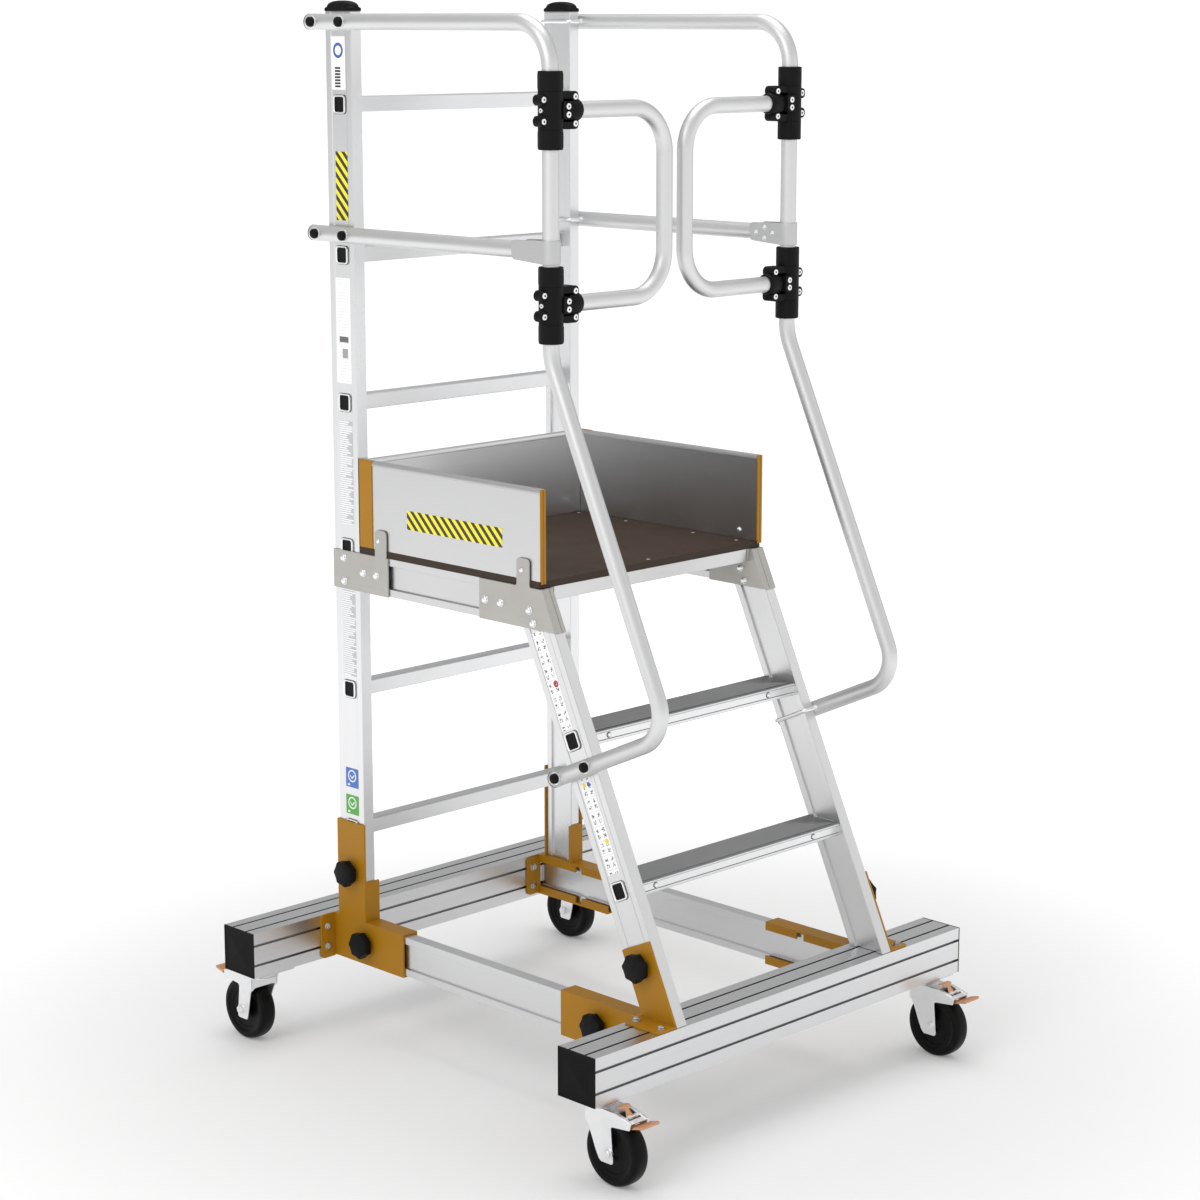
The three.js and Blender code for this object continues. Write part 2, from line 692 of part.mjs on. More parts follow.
const handTube = tube(
  [
    at(RAIL_REAR_Y, RAIL_TOP_Z),
    at(RAIL_POST_Y, RAIL_TOP_Z),
    at(RAIL_POST_Y, POST_CORNER_Z),
    at(...LOW_CORNER),
    at(...LOW_END),
  ],
  [80, 110, 66],
);
const collars = [GATE_TOP_Z, GATE_LOW_Z].flatMap((z) => [
  collar(z - HINGE_HALF, z - KNUCKLE_HALF - GAP),
  collar(z + KNUCKLE_HALF + GAP, z + HINGE_HALF),
]);
const handrail = join(
  handTube,
  ...collars,
  rodLoop([rodNear, RAIL_TOP_Z], [rodFar, RAIL_TOP_Z]),
  rodLoop(...LOW_RODS),
);
place("handrail_left", handrail, "aluminium");
place("handrail_right", mirror(handrail), "aluminium");

// knee rail with the folded clamp riveted to its front end
const clampR = TUBE_R + GAP;
const clampSkin = 2.2;
const CLAMP_LOW = 1567.5;
const CLAMP_HIGH = 1609;
const clampSide = [
  [-133, KNEE_Z - 14],
  [-133, KNEE_Z + 14],
  [-141, CLAMP_HIGH],
  [RAIL_POST_Y, CLAMP_HIGH],
  [RAIL_POST_Y, CLAMP_LOW],
  [-152, CLAMP_LOW],
  [-141, CLAMP_LOW + 3],
];
const clampBlank = join(
  alongX(clampSide, -RAIL_X - clampR - clampSkin, -RAIL_X + clampR + clampSkin),
  drum(clampR + clampSkin, -RAIL_X, RAIL_POST_Y, (CLAMP_LOW + CLAMP_HIGH) / 2, CLAMP_HIGH - CLAMP_LOW, "z"),
);
const clampHollow = join(
  drum(clampR, -RAIL_X, RAIL_POST_Y, KNEE_Z, 80, "z"),
  box([-RAIL_X - clampR, -RAIL_X + clampR], [RAIL_POST_Y, -100], [KNEE_Z - 60, KNEE_Z + 60]),
);
const kneeRail = join(
  cut(clampBlank, clampHollow),
  tube([at(RAIL_REAR_Y, KNEE_Z), at(-150, KNEE_Z)], []),
  drum(clampR + 0.5, -RAIL_X, -162, KNEE_Z, 36, "y"),
  rodLoop([rodNear, KNEE_Z], [rodFar, KNEE_Z]),
);
place("knee_rail_left", kneeRail, "aluminium");
place("knee_rail_right", mirror(kneeRail), "aluminium");

// ---------------------------------------------------------------- gates
// moulded hinge knuckle round the post, with a socket for one end of the gate's tube
function knuckle(z) {
  const ring = drum(HINGE_R, -RAIL_X, RAIL_POST_Y, z, 2 * KNUCKLE_HALF, "z");
  const hub = box([-RAIL_X + 12, -RAIL_X + 50], [RAIL_POST_Y - 13, RAIL_POST_Y + 13], [z - 20, z + 20]);
  const lobes = [-1, 1].map((way) =>
    alongY(
      roundedOutline(-RAIL_X + 38, z + way * 21, 34, 23, 8, 2),
      RAIL_POST_Y - 13,
      RAIL_POST_Y + 13,
    ),
  );
  const ears = alongY(roundedOutline(-RAIL_X - 19, z, 17, 50, 6, 2), RAIL_POST_Y - 10, RAIL_POST_Y + 10);
  const socket = drum(20, -RAIL_X + 45, RAIL_POST_Y, z, 42, "x");
  return [ring, hub, ...lobes, ears, socket];
}

const across = (x, z) => new THREE.Vector3(x, RAIL_POST_Y, z);
const gateTube = tube(
  [
    across(-RAIL_X + 30, GATE_TOP_Z),
    across(-GATE_FREE_X, GATE_TOP_Z),
    across(-GATE_FREE_X, GATE_LOW_Z),
    across(-RAIL_X + 30, GATE_LOW_Z),
  ],
  [80, 80],
);
const gate = cut(
  join(gateTube, ...knuckle(GATE_TOP_Z), ...knuckle(GATE_LOW_Z)),
  drum(TUBE_R + 0.8, -RAIL_X, RAIL_POST_Y, (GATE_TOP_Z + GATE_LOW_Z) / 2, 600, "z"),
);
place("gate_left", gate, "aluminium");
place("gate_right", mirror(gate), "aluminium");

// ---------------------------------------------------------------- star knobs
// axis along X, the stud end at x = 0 and the grip toward -X
function starKnob() {
  const outline = [];
  const perLobe = 2;
  for (let i = 0; i < KNOB_LOBES * perLobe; i += 1) {
    const angle = (i / (KNOB_LOBES * perLobe)) * 2 * Math.PI;
    const radius = KNOB_R - 5 + 2.2 * Math.cos(KNOB_LOBES * angle);
    outline.push([radius * Math.cos(angle), radius * Math.sin(angle)]);
  }
  const grip = new THREE.ExtrudeGeometry(flat(outline), {
    depth: KNOB_DEPTH - 6,
    bevelThickness: 3,
    bevelSize: 2.8,
    bevelSegments: 1,
  });
  grip.rotateY(-Math.PI / 2);
  grip.translate(-9, 0, 0);
  return join(grip, drum(9, -4.5, 0, 0, 9, "x", 16));
}

const knob = starKnob();
const knobSpots = [
  ["rear_stile", REAR_MID_Y, 340],
  ["rear_rail", 327, 202],
  ["front_rail", -320, 202],
  ["front_stile", (frontY(340) + backY(340)) / 2, 340],
];
for (const [name, y, z] of knobSpots) {
  const left = moved(knob, -WEB_X - GAP, y, z);
  place(`knob_${name}_left`, left, "black");
  place(`knob_${name}_right`, mirror(left), "black");
}

// ---------------------------------------------------------------- castors
// outlines are (forward, z), forward being the way the wheel trails from the swivel axis
const LEG = [
  [-30, 133],
  [-11, 80],
  [10, 49],
  [17, 44],
  [52, 44],
  [47, 113],
  [93, 118],
  [98, 131.5],
  [62, 141],
  [-30, 141],
];
const turned = (outline) => outline.map(([d, z]) => [-d, z]);

function castorFork() {
  const legs = [
    alongX(turned(LEG), -FORK_OUTER, -FORK_INNER),
    alongX(turned(LEG), FORK_INNER, FORK_OUTER),
  ];
  const crown = box([-FORK_OUTER, FORK_OUTER], [-60, 30], [137, 141]);
  const window = box([-15, 15], [-89, -40], [125, 150]);
  const bearing = drum(29, 0, 0, 145.6, 10, "z");
  const hood = alongX(turned([[58, 141], [62, 141], [98, 131.5], [97, 128.5], [60, 138]]), -FORK_OUTER, FORK_OUTER);
  const axle = drum(AXLE_R, 0, -TRAIL, WHEEL_R, 2 * FORK_OUTER + 10, "x", 12);
  return join(...legs, cut(join(crown, hood), window), bearing, axle);
}

// wheel section as (radius, offset along the axle) turned about the axle
function castorWheel() {
  const half = WHEEL_HALF;
  const bore = AXLE_R + 0.4;
  const section = [
    [bore, -half + 3],
    [44, -half + 5],
    [46, -half],
    [WHEEL_R - 4, -half],
    [WHEEL_R, -half + 7],
    [WHEEL_R, half - 7],
    [WHEEL_R - 4, half],
    [46, half],
    [44, half - 5],
    [bore, half - 3],
    [bore, -half + 3],
  ];
  const wheel = new THREE.LatheGeometry(section.map(([r, h]) => new THREE.Vector2(r, h)), 24);
  wheel.rotateZ(Math.PI / 2);
  return geometryOf(solid(wheel)).translate(0, -TRAIL, WHEEL_R);
}

// foot lever: wide tread plate in front, pivot barrel between the arms, raised release lip behind
function castorPedal() {
  const [pivot, height] = PEDAL_PIVOT;
  const arm = alongX(turned([[68, 126], [72, 130], [98, 123.5], [105, 126], [105, 122], [97, 119.5]]), -18, 18);
  const tread = alongX(turned([[101, 126.5], [125, 132.5], [125, 129.5], [119, 126.5], [101, 122]]), -21, 21);
  const lip = alongX(turned([[50, 148], [62, 150.3], [75, 131], [72, 129], [61, 147.3], [50.5, 145]]), -12.5, 12.5);
  const barrel = drum(3.6, 0, -pivot, height, 36, "x", 12);
  return join(arm, tread, lip, barrel);
}

const fork = castorFork();
const wheel = castorWheel();
const pedal = castorPedal();
const corners = [
  ["front_left", -1, -1],
  ["front_right", 1, -1],
  ["rear_left", -1, 1],
  ["rear_right", 1, 1],
];
for (const [corner, sideX, sideY] of corners) {
  for (const [kind, shape, colour] of [["fork", fork, "zinc"], ["wheel", wheel, "tyre"], ["pedal", pedal, "copper"]]) {
    const facing = sideY < 0 ? shape : mirror(shape, "y");
    place(`castor_${kind}_${corner}`, moved(facing, sideX * CASTOR_X, sideY * BEAM_Y, 0), colour);
  }
}

export default ladder;
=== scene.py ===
from math import atan, copysign, cos, hypot, pi, radians, sin, tan

import bmesh
import bpy
from mathutils import Matrix, Vector


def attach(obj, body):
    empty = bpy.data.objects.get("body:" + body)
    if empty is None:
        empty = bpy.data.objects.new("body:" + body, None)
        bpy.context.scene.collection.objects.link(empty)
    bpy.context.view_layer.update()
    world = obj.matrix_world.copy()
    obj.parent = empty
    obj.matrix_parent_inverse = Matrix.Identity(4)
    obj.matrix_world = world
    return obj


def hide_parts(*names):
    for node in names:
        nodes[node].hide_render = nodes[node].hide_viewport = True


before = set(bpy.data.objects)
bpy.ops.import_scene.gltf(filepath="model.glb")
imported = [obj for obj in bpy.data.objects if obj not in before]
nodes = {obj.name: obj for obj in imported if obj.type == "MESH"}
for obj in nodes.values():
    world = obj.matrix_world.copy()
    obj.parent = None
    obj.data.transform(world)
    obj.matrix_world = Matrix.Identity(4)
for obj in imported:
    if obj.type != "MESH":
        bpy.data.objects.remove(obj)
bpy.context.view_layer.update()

MM = 0.001
SIDES = ("left", "right")  # pieces are drawn on the left and mirrored for the right

# ---- camera
camera_data = bpy.data.cameras.new("view")
camera_data.lens = 84.35
camera_data.sensor_width = 36
camera_data.shift_y = -0.014
camera_data.clip_end = 100
camera = bpy.data.objects.new("view", camera_data)
camera.location = (-3.703, -3.739, 1.9835)
camera.rotation_euler = (radians(78.67), 0, radians(-44.91))
bpy.context.scene.collection.objects.link(camera)
bpy.context.scene.camera = camera

# ---- dimensions, mm
OUTER_X = 295
INNER_X = 270
REAR_Y = 368.5
RAIL_X = 310.3
TUBE_R = 15
POST_Y = -215
RAIL_TOP = 1980
KNEE_Z = 1589
RAIL_END_Y = 432
GATE_Z = (1831, 1496.5)
WEB_X = 299  # outer face of a bracket's web
BEAM_TOP = 245
LEAN = 0.464
LEAN_ANGLE = atan(LEAN)
OUT, IN, FRONT, BACK, UP = (-1, 0, 0), (1, 0, 0), (0, -1, 0), (0, 1, 0), (0, 0, 1)
TREAD_SPOTS = {"tread_lower": (482, -319), "tread_upper": (737, -201)}
RUNGS = [429 + 280 * i for i in range(6)]


def front_y(z):
    return -513 + LEAN * (z - BEAM_TOP)


# ---- materials
class Graph:
    """A material on one Principled shader, with short calls for the nodes that feed it."""

    def __init__(self, name, metallic=0.0):
        self.material = bpy.data.materials.new(name)
        self.material.use_nodes = True
        self.tree = self.material.node_tree
        self.shader = self.tree.nodes["Principled BSDF"]
        self.set("Metallic", metallic)

    def feed(self, socket, value):
        """Links a value that is another node's socket, or stores a plain one."""
        if isinstance(value, bpy.types.NodeSocket):
            self.tree.links.new(value, socket)
        else:
            socket.default_value = value

    def set(self, socket, value):
        self.feed(self.shader.inputs[socket], value)

    def surface(self, colour, roughness, height, strength, distance=0.0003, specular=None):
        """The sockets that nearly every material sets; returns the material."""
        self.set("Base Color", colour)
        self.set("Roughness", roughness)
        self.set("Normal", self.bump(height, strength, distance))
        if specular is not None:
            self.set("Specular IOR Level", specular)
        return self.material

    def node(self, kind, inputs=None, **settings):
        made = self.tree.nodes.new(kind)
        for key, value in settings.items():
            setattr(made, key, value)
        for key, value in (inputs or {}).items():
            self.feed(made.inputs[key], value)
        return made

    def coords(self, scale=(1, 1, 1), rotation=(0, 0, 0)):
        place = self.node("ShaderNodeTexCoord").outputs["Object"]
        turned = self.node("ShaderNodeMapping", {"Vector": place, "Rotation": rotation})
        return self.node("ShaderNodeMapping", {"Vector": turned.outputs[0], "Scale": scale}).outputs[0]

    def noise(self, scale, detail=3.0, roughness=0.55, place=None):
        vector = self.coords() if place is None else place
        values = {"Vector": vector, "Scale": scale, "Detail": detail, "Roughness": roughness}
        return self.node("ShaderNodeTexNoise", values).outputs[0]

    def cells(self, scale, output=0):
        return self.node("ShaderNodeTexVoronoi", {"Vector": self.coords(), "Scale": scale}).outputs[output]

    def scaled(self, value, low, high, to_low, to_high):
        values = {0: value, 1: low, 2: high, 3: to_low, 4: to_high}
        return self.node("ShaderNodeMapRange", values).outputs[0]

    def math(self, operation, a, b=0.0):
        return self.node("ShaderNodeMath", {0: a, 1: b}, operation=operation).outputs[0]

    def mix(self, share, a, b):
        return self.node("ShaderNodeMix", {0: share, 6: a, 7: b}, data_type="RGBA").outputs[2]

    def blend(self, share, a, b):
        return self.scaled(share, 0.0, 1.0, a, b)

    def spread(self, noise, low, high):
        """Stretches the middle of a noise, where most of its values lie."""
        return self.scaled(noise, 0.3, 0.7, low, high)

    def axis(self, name):
        place = self.node("ShaderNodeTexCoord").outputs["Object"]
        return self.node("ShaderNodeSeparateXYZ", {0: place}).outputs["XYZ".index(name)]

    def bump(self, height, strength, distance):
        values = {"Height": height, "Strength": strength, "Distance": distance}
        return self.node("ShaderNodeBump", values).outputs[0]


def grey(value, tint=(1, 1, 1)):
    return (value * tint[0], value * tint[1], value * tint[2], 1)


COOL = (0.985, 0.99, 1.0)
ALU_LIGHT = 0.78
ALU_DARK = 0.7


def aluminium_nodes(graph, grain, rotation=(0, 0, 0)):
    """Drawn or extruded aluminium: fine lines along the profile, faint cloudy tone and handling marks."""
    lines = graph.noise(1.0, 4.0, 0.6, place=graph.coords(grain, rotation))
    clouds = graph.noise(5.0, 3.0)
    scuffs = graph.noise(60.0, 5.0, 0.7, place=graph.coords((1, 1, 1), (0.4, 0.3, 0.9)))
    tone = graph.mix(lines, grey(ALU_DARK, COOL), grey(ALU_LIGHT, COOL))
    soft = graph.spread(clouds, 0.0, 0.3)
    colour = graph.mix(soft, tone, grey(0.73, COOL))
    base = graph.scaled(clouds, 0.25, 0.75, 0.27, 0.34)
    fine = graph.scaled(scuffs, 0.62, 0.8, 0.0, 0.05)
    roughness = graph.math("ADD", base, fine)
    normal = graph.bump(lines, 0.12, 0.0004)
    return colour, roughness, normal


def aluminium(name, grain, rotation=(0, 0, 0), matt=0.0, shade=None, painted_top_shade=None):
    """Bare aluminium. shade greys all of it; on most pieces that grey is painted shade, a darker copy of the same
    metal for the light that piece gets. The last grey darkens only the faces that look up, as painted shade.
    """
    graph = Graph(name, metallic=1.0)
    colour, roughness, normal = aluminium_nodes(graph, grain, rotation)
    # painted shade on most pieces: the whole surface is pulled toward one darker grey
    if shade:
        colour = graph.mix(0.75, colour, grey(shade))
    # painted shade: faces that look up are made darker
    if painted_top_shade:
        normals = graph.node("ShaderNodeNewGeometry").outputs["True Normal"]
        facing = graph.node("ShaderNodeSeparateXYZ", {0: normals})
        upper = graph.math("GREATER_THAN", facing.outputs[2], 0.4)
        colour = graph.mix(upper, colour, graph.mix(0.75, colour, grey(painted_top_shade)))
    graph.set("Base Color", colour)
    graph.set("Roughness", graph.math("ADD", roughness, matt) if matt else roughness)
    graph.set("Normal", normal)
    return graph.material


def beam_material():
    """The beam's aluminium, with the black end caps and zinc castor plates that belong to the same solid.

    The limits are metres in the shared frame: a cap is beyond the beam's end, a plate is under its lower face,
    and the recess of every long face, coloured dark grey as painted shade, is nearer to the beam's axis than the
    outer skin.
    """
    graph = Graph("beam_aluminium")
    colour, roughness, normal = aluminium_nodes(graph, (4, 700, 700))
    reach = graph.math("ABSOLUTE", graph.axis("X"))
    cap = graph.math("GREATER_THAN", reach, 0.50004)
    plate = graph.math("LESS_THAN", graph.axis("Z"), 0.15496)
    grain = graph.noise(900.0, 2.0)
    black = graph.mix(grain, grey(0.002), grey(0.004))
    rise = graph.math("ABSOLUTE", graph.math("SUBTRACT", graph.axis("Z"), 0.2))
    depth = graph.math("ABSOLUTE", graph.math("SUBTRACT", graph.math("ABSOLUTE", graph.axis("Y")), 0.47))
    # painted shade: the recess of every long face is coloured dark grey, lighter in the side faces' recesses than in
    # the top and bottom ones
    painted_recess_shade = graph.math("LESS_THAN", graph.math("MAXIMUM", rise, depth), 0.0441)
    side_face = graph.math("LESS_THAN", rise, 0.03)
    colour = graph.mix(painted_recess_shade, colour, graph.mix(side_face, grey(0.1), grey(0.38)))
    zinc = graph.mix(graph.noise(120.0, 3.0), grey(0.62, COOL), grey(0.74, COOL))
    graph.set("Base Color", graph.mix(cap, graph.mix(plate, colour, zinc), black))
    graph.set("Metallic", graph.blend(cap, 1.0, 0.0))
    graph.set("Roughness", graph.mix(cap, roughness, grey(0.5)))
    graph.set("Specular IOR Level", 0.11)
    graph.set("Normal", normal)
    return graph.material


def ochre_material():
    """Semi-gloss ochre paint with orange peel and slight unevenness."""
    graph = Graph("ochre_paint")
    clouds = graph.noise(7.0, 4.0)
    specks = graph.noise(420.0, 3.0)
    base = graph.mix(clouds, (0.36, 0.165, 0.004, 1), (0.43, 0.2, 0.007, 1))
    colour = graph.mix(graph.scaled(specks, 0.6, 0.75, 0, 0.18), base, (0.31, 0.14, 0.004, 1))
    roughness = graph.spread(clouds, 0.36, 0.48)
    return graph.surface(colour, roughness, graph.noise(650.0, 2.0), 0.18, 0.0005, 0.25)


def sheet_steel_material():
    """Dull warm-grey rolled sheet with a fine rolling direction."""
    graph = Graph("corner_steel", metallic=0.55)
    lines = graph.noise(1.0, 4.0, 0.6, place=graph.coords((900, 6, 500)))
    blotches = graph.noise(16.0, 5.0, 0.6)
    tone = graph.mix(lines, (0.43, 0.415, 0.385, 1), (0.51, 0.495, 0.465, 1))
    colour = graph.mix(graph.scaled(blotches, 0.35, 0.7, 0, 0.35), tone, (0.45, 0.43, 0.4, 1))
    return graph.surface(colour, graph.spread(blotches, 0.42, 0.55), lines, 0.12, 0.0004)


def zinc_material():
    """Bright zinc plate with a faint crystalline variation."""
    graph = Graph("zinc_steel", metallic=0.9)
    grain = graph.cells(300.0, output=1)
    value = graph.noise(40.0, 4.0)
    tone = graph.mix(graph.scaled(grain, 0, 1, 0.35, 0.65), grey(0.86, COOL), grey(0.94, COOL))
    colour = graph.mix(graph.scaled(value, 0.4, 0.7, 0, 0.25), tone, grey(0.8, COOL))
    return graph.surface(colour, graph.spread(value, 0.28, 0.38), graph.noise(300.0, 2.0), 0.03, 0.0002)


def bolt_material():
    """Bright zinc-plated hardware, smoother and darker than the castors' sheet."""
    graph = Graph("bright_bolt", metallic=1.0)
    marks = graph.noise(220.0, 3.0)
    colour = graph.mix(marks, grey(0.48, COOL), grey(0.66, COOL))
    return graph.surface(colour, graph.spread(marks, 0.14, 0.26), marks, 0.08, 0.0002)


def plastic_material(name, light, dark, roughness=(0.42, 0.55)):
    """Moulded plastic with a fine eroded grain."""
    graph = Graph(name)
    clouds = graph.noise(30.0, 4.0)
    fine = graph.noise(1500.0, 2.0)
    colour = graph.mix(clouds, grey(dark), grey(light))
    return graph.surface(colour, graph.spread(fine, *roughness), fine, 0.2, specular=0.11)


def board_material():
    """Film-faced plywood: dark phenolic film with a fine wire pattern and scuffs, plies showing at the edge."""
    graph = Graph("platform_board")
    weave = graph.cells(420.0)
    clouds = graph.noise(9.0, 5.0, 0.6)
    scratches = graph.noise(1.0, 5.0, 0.6, place=graph.coords((30, 260, 30), (0, 0, 0.5)))
    film = graph.mix(clouds, (0.05, 0.028, 0.017, 1), (0.062, 0.038, 0.025, 1))
    film = graph.mix(graph.scaled(scratches, 0.66, 0.78, 0, 0.25), film, (0.08, 0.055, 0.04, 1))
    ply = graph.math("SINE", graph.math("MULTIPLY", graph.axis("Z"), 4200.0))
    edge = graph.mix(graph.scaled(ply, -0.6, 0.6, 0, 1), (0.04, 0.027, 0.02, 1), (0.062, 0.044, 0.033, 1))
    normal = graph.node("ShaderNodeNewGeometry").outputs["Normal"]
    up = graph.node("ShaderNodeSeparateXYZ", {0: normal}).outputs[2]
    flat = graph.math("GREATER_THAN", graph.math("ABSOLUTE", up), 0.7)
    roughness = graph.spread(clouds, 0.5, 0.62)
    return graph.surface(graph.mix(flat, edge, film), roughness, weave, 0.25, 0.0004, 0.14)


def rubber_material():
    """Black wheel compound with a matt moulded skin and a trace of dust."""
    graph = Graph("tyre_rubber")
    dust = graph.noise(45.0, 6.0, 0.65)
    tone = graph.mix(graph.scaled(dust, 0.45, 0.75, 0, 1), grey(0.0025), (0.007, 0.0068, 0.0065, 1))
    roughness = graph.spread(dust, 0.32, 0.46)
    return graph.surface(tone, roughness, graph.noise(900.0, 2.0), 0.12, specular=0.12)


def copper_material():
    """Bronze-coloured passivated lever, slightly uneven, with brushed wear."""
    graph = Graph("copper_lever", metallic=0.65)
    clouds = graph.noise(40.0, 4.0)
    wear = graph.noise(1.0, 4.0, place=graph.coords((500, 60, 500)))
    tone = graph.mix(clouds, (0.6, 0.3, 0.15, 1), (0.7, 0.38, 0.21, 1))
    colour = graph.mix(graph.scaled(wear, 0.6, 0.8, 0, 0.4), tone, (0.78, 0.5, 0.32, 1))
    return graph.surface(colour, graph.spread(clouds, 0.34, 0.46), wear, 0.08)


ALU_X = aluminium("aluminium_x", (4, 700, 700))
ALU_Y = aluminium("aluminium_y", (700, 4, 700))
ALU_Z = aluminium("aluminium_z", (700, 700, 4))
# ALU_LEAN, ALU_TUBE, ALU_PANEL and ALU_MEMBER are the same bare aluminium made darker: painted shade for the light
# each of these pieces gets
ALU_LEAN = aluminium("aluminium_lean", (700, 700, 4), (LEAN_ANGLE, 0, 0), shade=0.66)
ALU_TUBE = aluminium("aluminium_tube", (90, 90, 90), matt=0.16, shade=0.68)
ALU_PANEL = aluminium("aluminium_panel", (700, 4, 700), shade=0.55)
ALU_RIM = aluminium("aluminium_rim", (90, 90, 90), matt=0.1, shade=0.95)
# the tread's upward faces are painted darker, as painted shade
ALU_TREAD = aluminium("aluminium_tread", (4, 900, 900), painted_top_shade=0.12)
ALU_MEMBER = aluminium("aluminium_member", (4, 700, 700), shade=0.56)
ALU_SHEET = aluminium("aluminium_sheet", (60, 500, 60))
ALU_CLAMP = aluminium("aluminium_clamp", (60, 60, 500), matt=0.1, shade=0.5)
BEAM = beam_material()
OCHRE = ochre_material()
STEEL = sheet_steel_material()
ZINC = zinc_material()
BOARD = board_material()
RUBBER = rubber_material()
COPPER = copper_material()
BOLT = bolt_material()
BLACK = plastic_material("black_plastic", 0.0075, 0.005)
PLUG = plastic_material("black_plug", 0.006, 0.004, (0.35, 0.45))


# ---- solid building
class Shape:
    """Closed solids drawn in millimetres in the shared frame and kept as one mesh."""

    def __init__(self):
        self.bm = bmesh.new()

    def loft(self, rings, closed=False):
        """Joins rings of points, each with as many points; the ends are capped unless the loft is closed."""
        made = [[self.bm.verts.new(Vector(p) * MM) for p in ring] for ring in rings]
        count = len(made[0])
        pairs = list(zip(made, made[1:]))
        if closed:
            pairs.append((made[-1], made[0]))
        for a, b in pairs:
            for i in range(count):
                j = (i + 1) % count
                self.bm.faces.new((a[i], a[j], b[j], b[i]))
        if not closed:
            self.bm.faces.new(list(reversed(made[0])))
            self.bm.faces.new(made[-1])
        return self

    def prism(self, outline, axis, low, high):
        """Pushes an outline along an axis; it holds the two other coordinates in X, Y, Z order."""
        index = "xyz".index(axis)

        def point(uv, along):
            values = list(uv)
            values.insert(index, along)
            return values

        return self.loft([[point(uv, low) for uv in outline], [point(uv, high) for uv in outline]])

    def box(self, xs, ys, zs):
        outline = [(xs[0], ys[0]), (xs[1], ys[0]), (xs[1], ys[1]), (xs[0], ys[1])]
        return self.prism(outline, "z", *zs)

    def turn(self, profile, centre, direction, sides=32, closed=False):
        """Turns (radius, height) points about a line through centre. A radius of 0 closes an end."""
        along = Vector(direction).normalized()
        across = along.orthogonal().normalized()
        other = along.cross(across)
        rings = []
        for radius, height in profile:
            radius = max(radius, 0.02)
            ring = []
            for i in range(sides):
                angle = 2 * pi * i / sides
                spoke = across * cos(angle) + other * sin(angle)
                ring.append(Vector(centre) + along * height + spoke * radius)
            rings.append(ring)
        return self.loft(rings, closed)

    def tube(self, corners, bends, radius, sides=32, steps=14, inner=None):
        """A round tube through corners that are rounded to the given bend radii; inner makes it hollow."""
        path = rounded_path(corners, bends, steps)
        rings = path_rings(path, radius, sides)
        if inner is None:
            return self.loft(rings)
        bore = path_rings(path, inner, sides)
        return self.loft(rings + bore[::-1], closed=True)

    def mirror(self, axis=0):
        for vert in self.bm.verts:
            vert.co[axis] *= -1

    def shift(self, x, y, z):
        bmesh.ops.translate(self.bm, verts=self.bm.verts, vec=Vector((x, y, z)) * MM)

    def finished(self, name, material):
        """Ends the drawing and returns an object in the scene."""
        bmesh.ops.recalc_face_normals(self.bm, faces=self.bm.faces)
        mesh = bpy.data.meshes.new(name)
        self.bm.to_mesh(mesh)
        self.bm.free()
        mesh.materials.append(material)
        made = bpy.data.objects.new(name, mesh)
        bpy.context.scene.collection.objects.link(made)
        return made


def rounded_path(corners, bends, steps):
    corners = [Vector(c) for c in corners]
    path = [corners[0]]
    for here, before, after, bend in zip(corners[1:-1], corners, corners[2:], bends):
        back = (before - here).normalized()
        on = (after - here).normalized()
        half = back.angle(on) / 2
        reach = bend / tan(half)
        centre = here + (back + on).normalized() * (bend / sin(half))
        start = here + back * reach - centre
        end = here + on * reach - centre
        sweep = start.angle(end)
        for step in range(steps + 1):
            share = step / steps
            a = sin((1 - share) * sweep) / sin(sweep)
            b = sin(share * sweep) / sin(sweep)
            path.append(centre + start * a + end * b)
    path.append(corners[-1])
    return path


def path_rings(path, radius, sides):
    """Rings round a path that lies in one plane."""
    steps = [(b - a).normalized() for a, b in zip(path, path[1:])]
    bend = Vector((0, 0, 0))
    for a, b in zip(steps, steps[1:]):
        bend += a.cross(b)
    normal = bend.normalized() if bend.length > 1e-6 else steps[0].orthogonal().normalized()
    rings = []
    for i, point in enumerate(path):
        before = steps[max(i - 1, 0)]
        after = steps[min(i, len(steps) - 1)]
        along = (before + after).normalized()
        side = normal.cross(along)
        ring = []
        for k in range(sides):
            angle = 2 * pi * k / sides
            ring.append(point + side * (radius * cos(angle)) + normal * (radius * sin(angle)))
        rings.append(ring)
    return rings


def arc(u, v, radius, start, sweep, steps):
    """Points on part of a circle, with the angles in degrees."""
    turns = [radians(start + sweep * i / steps) for i in range(steps + 1)]
    return [(u + radius * cos(a), v + radius * sin(a)) for a in turns]


def rounded(u, v, width, height, radius, steps=5):
    """A rectangle about (u, v) with rounded corners."""
    points = []
    for quarter, (su, sv) in enumerate(((1, 1), (-1, 1), (-1, -1), (1, -1))):
        cu = u + su * (width / 2 - radius)
        cv = v + sv * (height / 2 - radius)
        points += arc(cu, cv, radius, 90 * quarter, 90, steps)
    return points


def add(name, shape, material, side="", body="frame", bevel=0.0, angle=35, replaces=None):
    """Makes an object of a shape that was drawn on the left, and lets it ride on a CAD body.

    The side, or the castor's corner, completes the names of the object, its body and the node it replaces.
    """
    tag = f"_{side}" if side else ""
    if side == "right":
        shape.mirror()
    made = shape.finished(name + tag, material)
    made.data.polygons.foreach_set("use_smooth", [True] * len(made.data.polygons))
    made.data.set_sharp_from_angle(angle=radians(angle))
    if bevel:
        soften(made, bevel)
    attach(made, body if body == "frame" else body + tag)
    if replaces:
        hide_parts(replaces + tag)


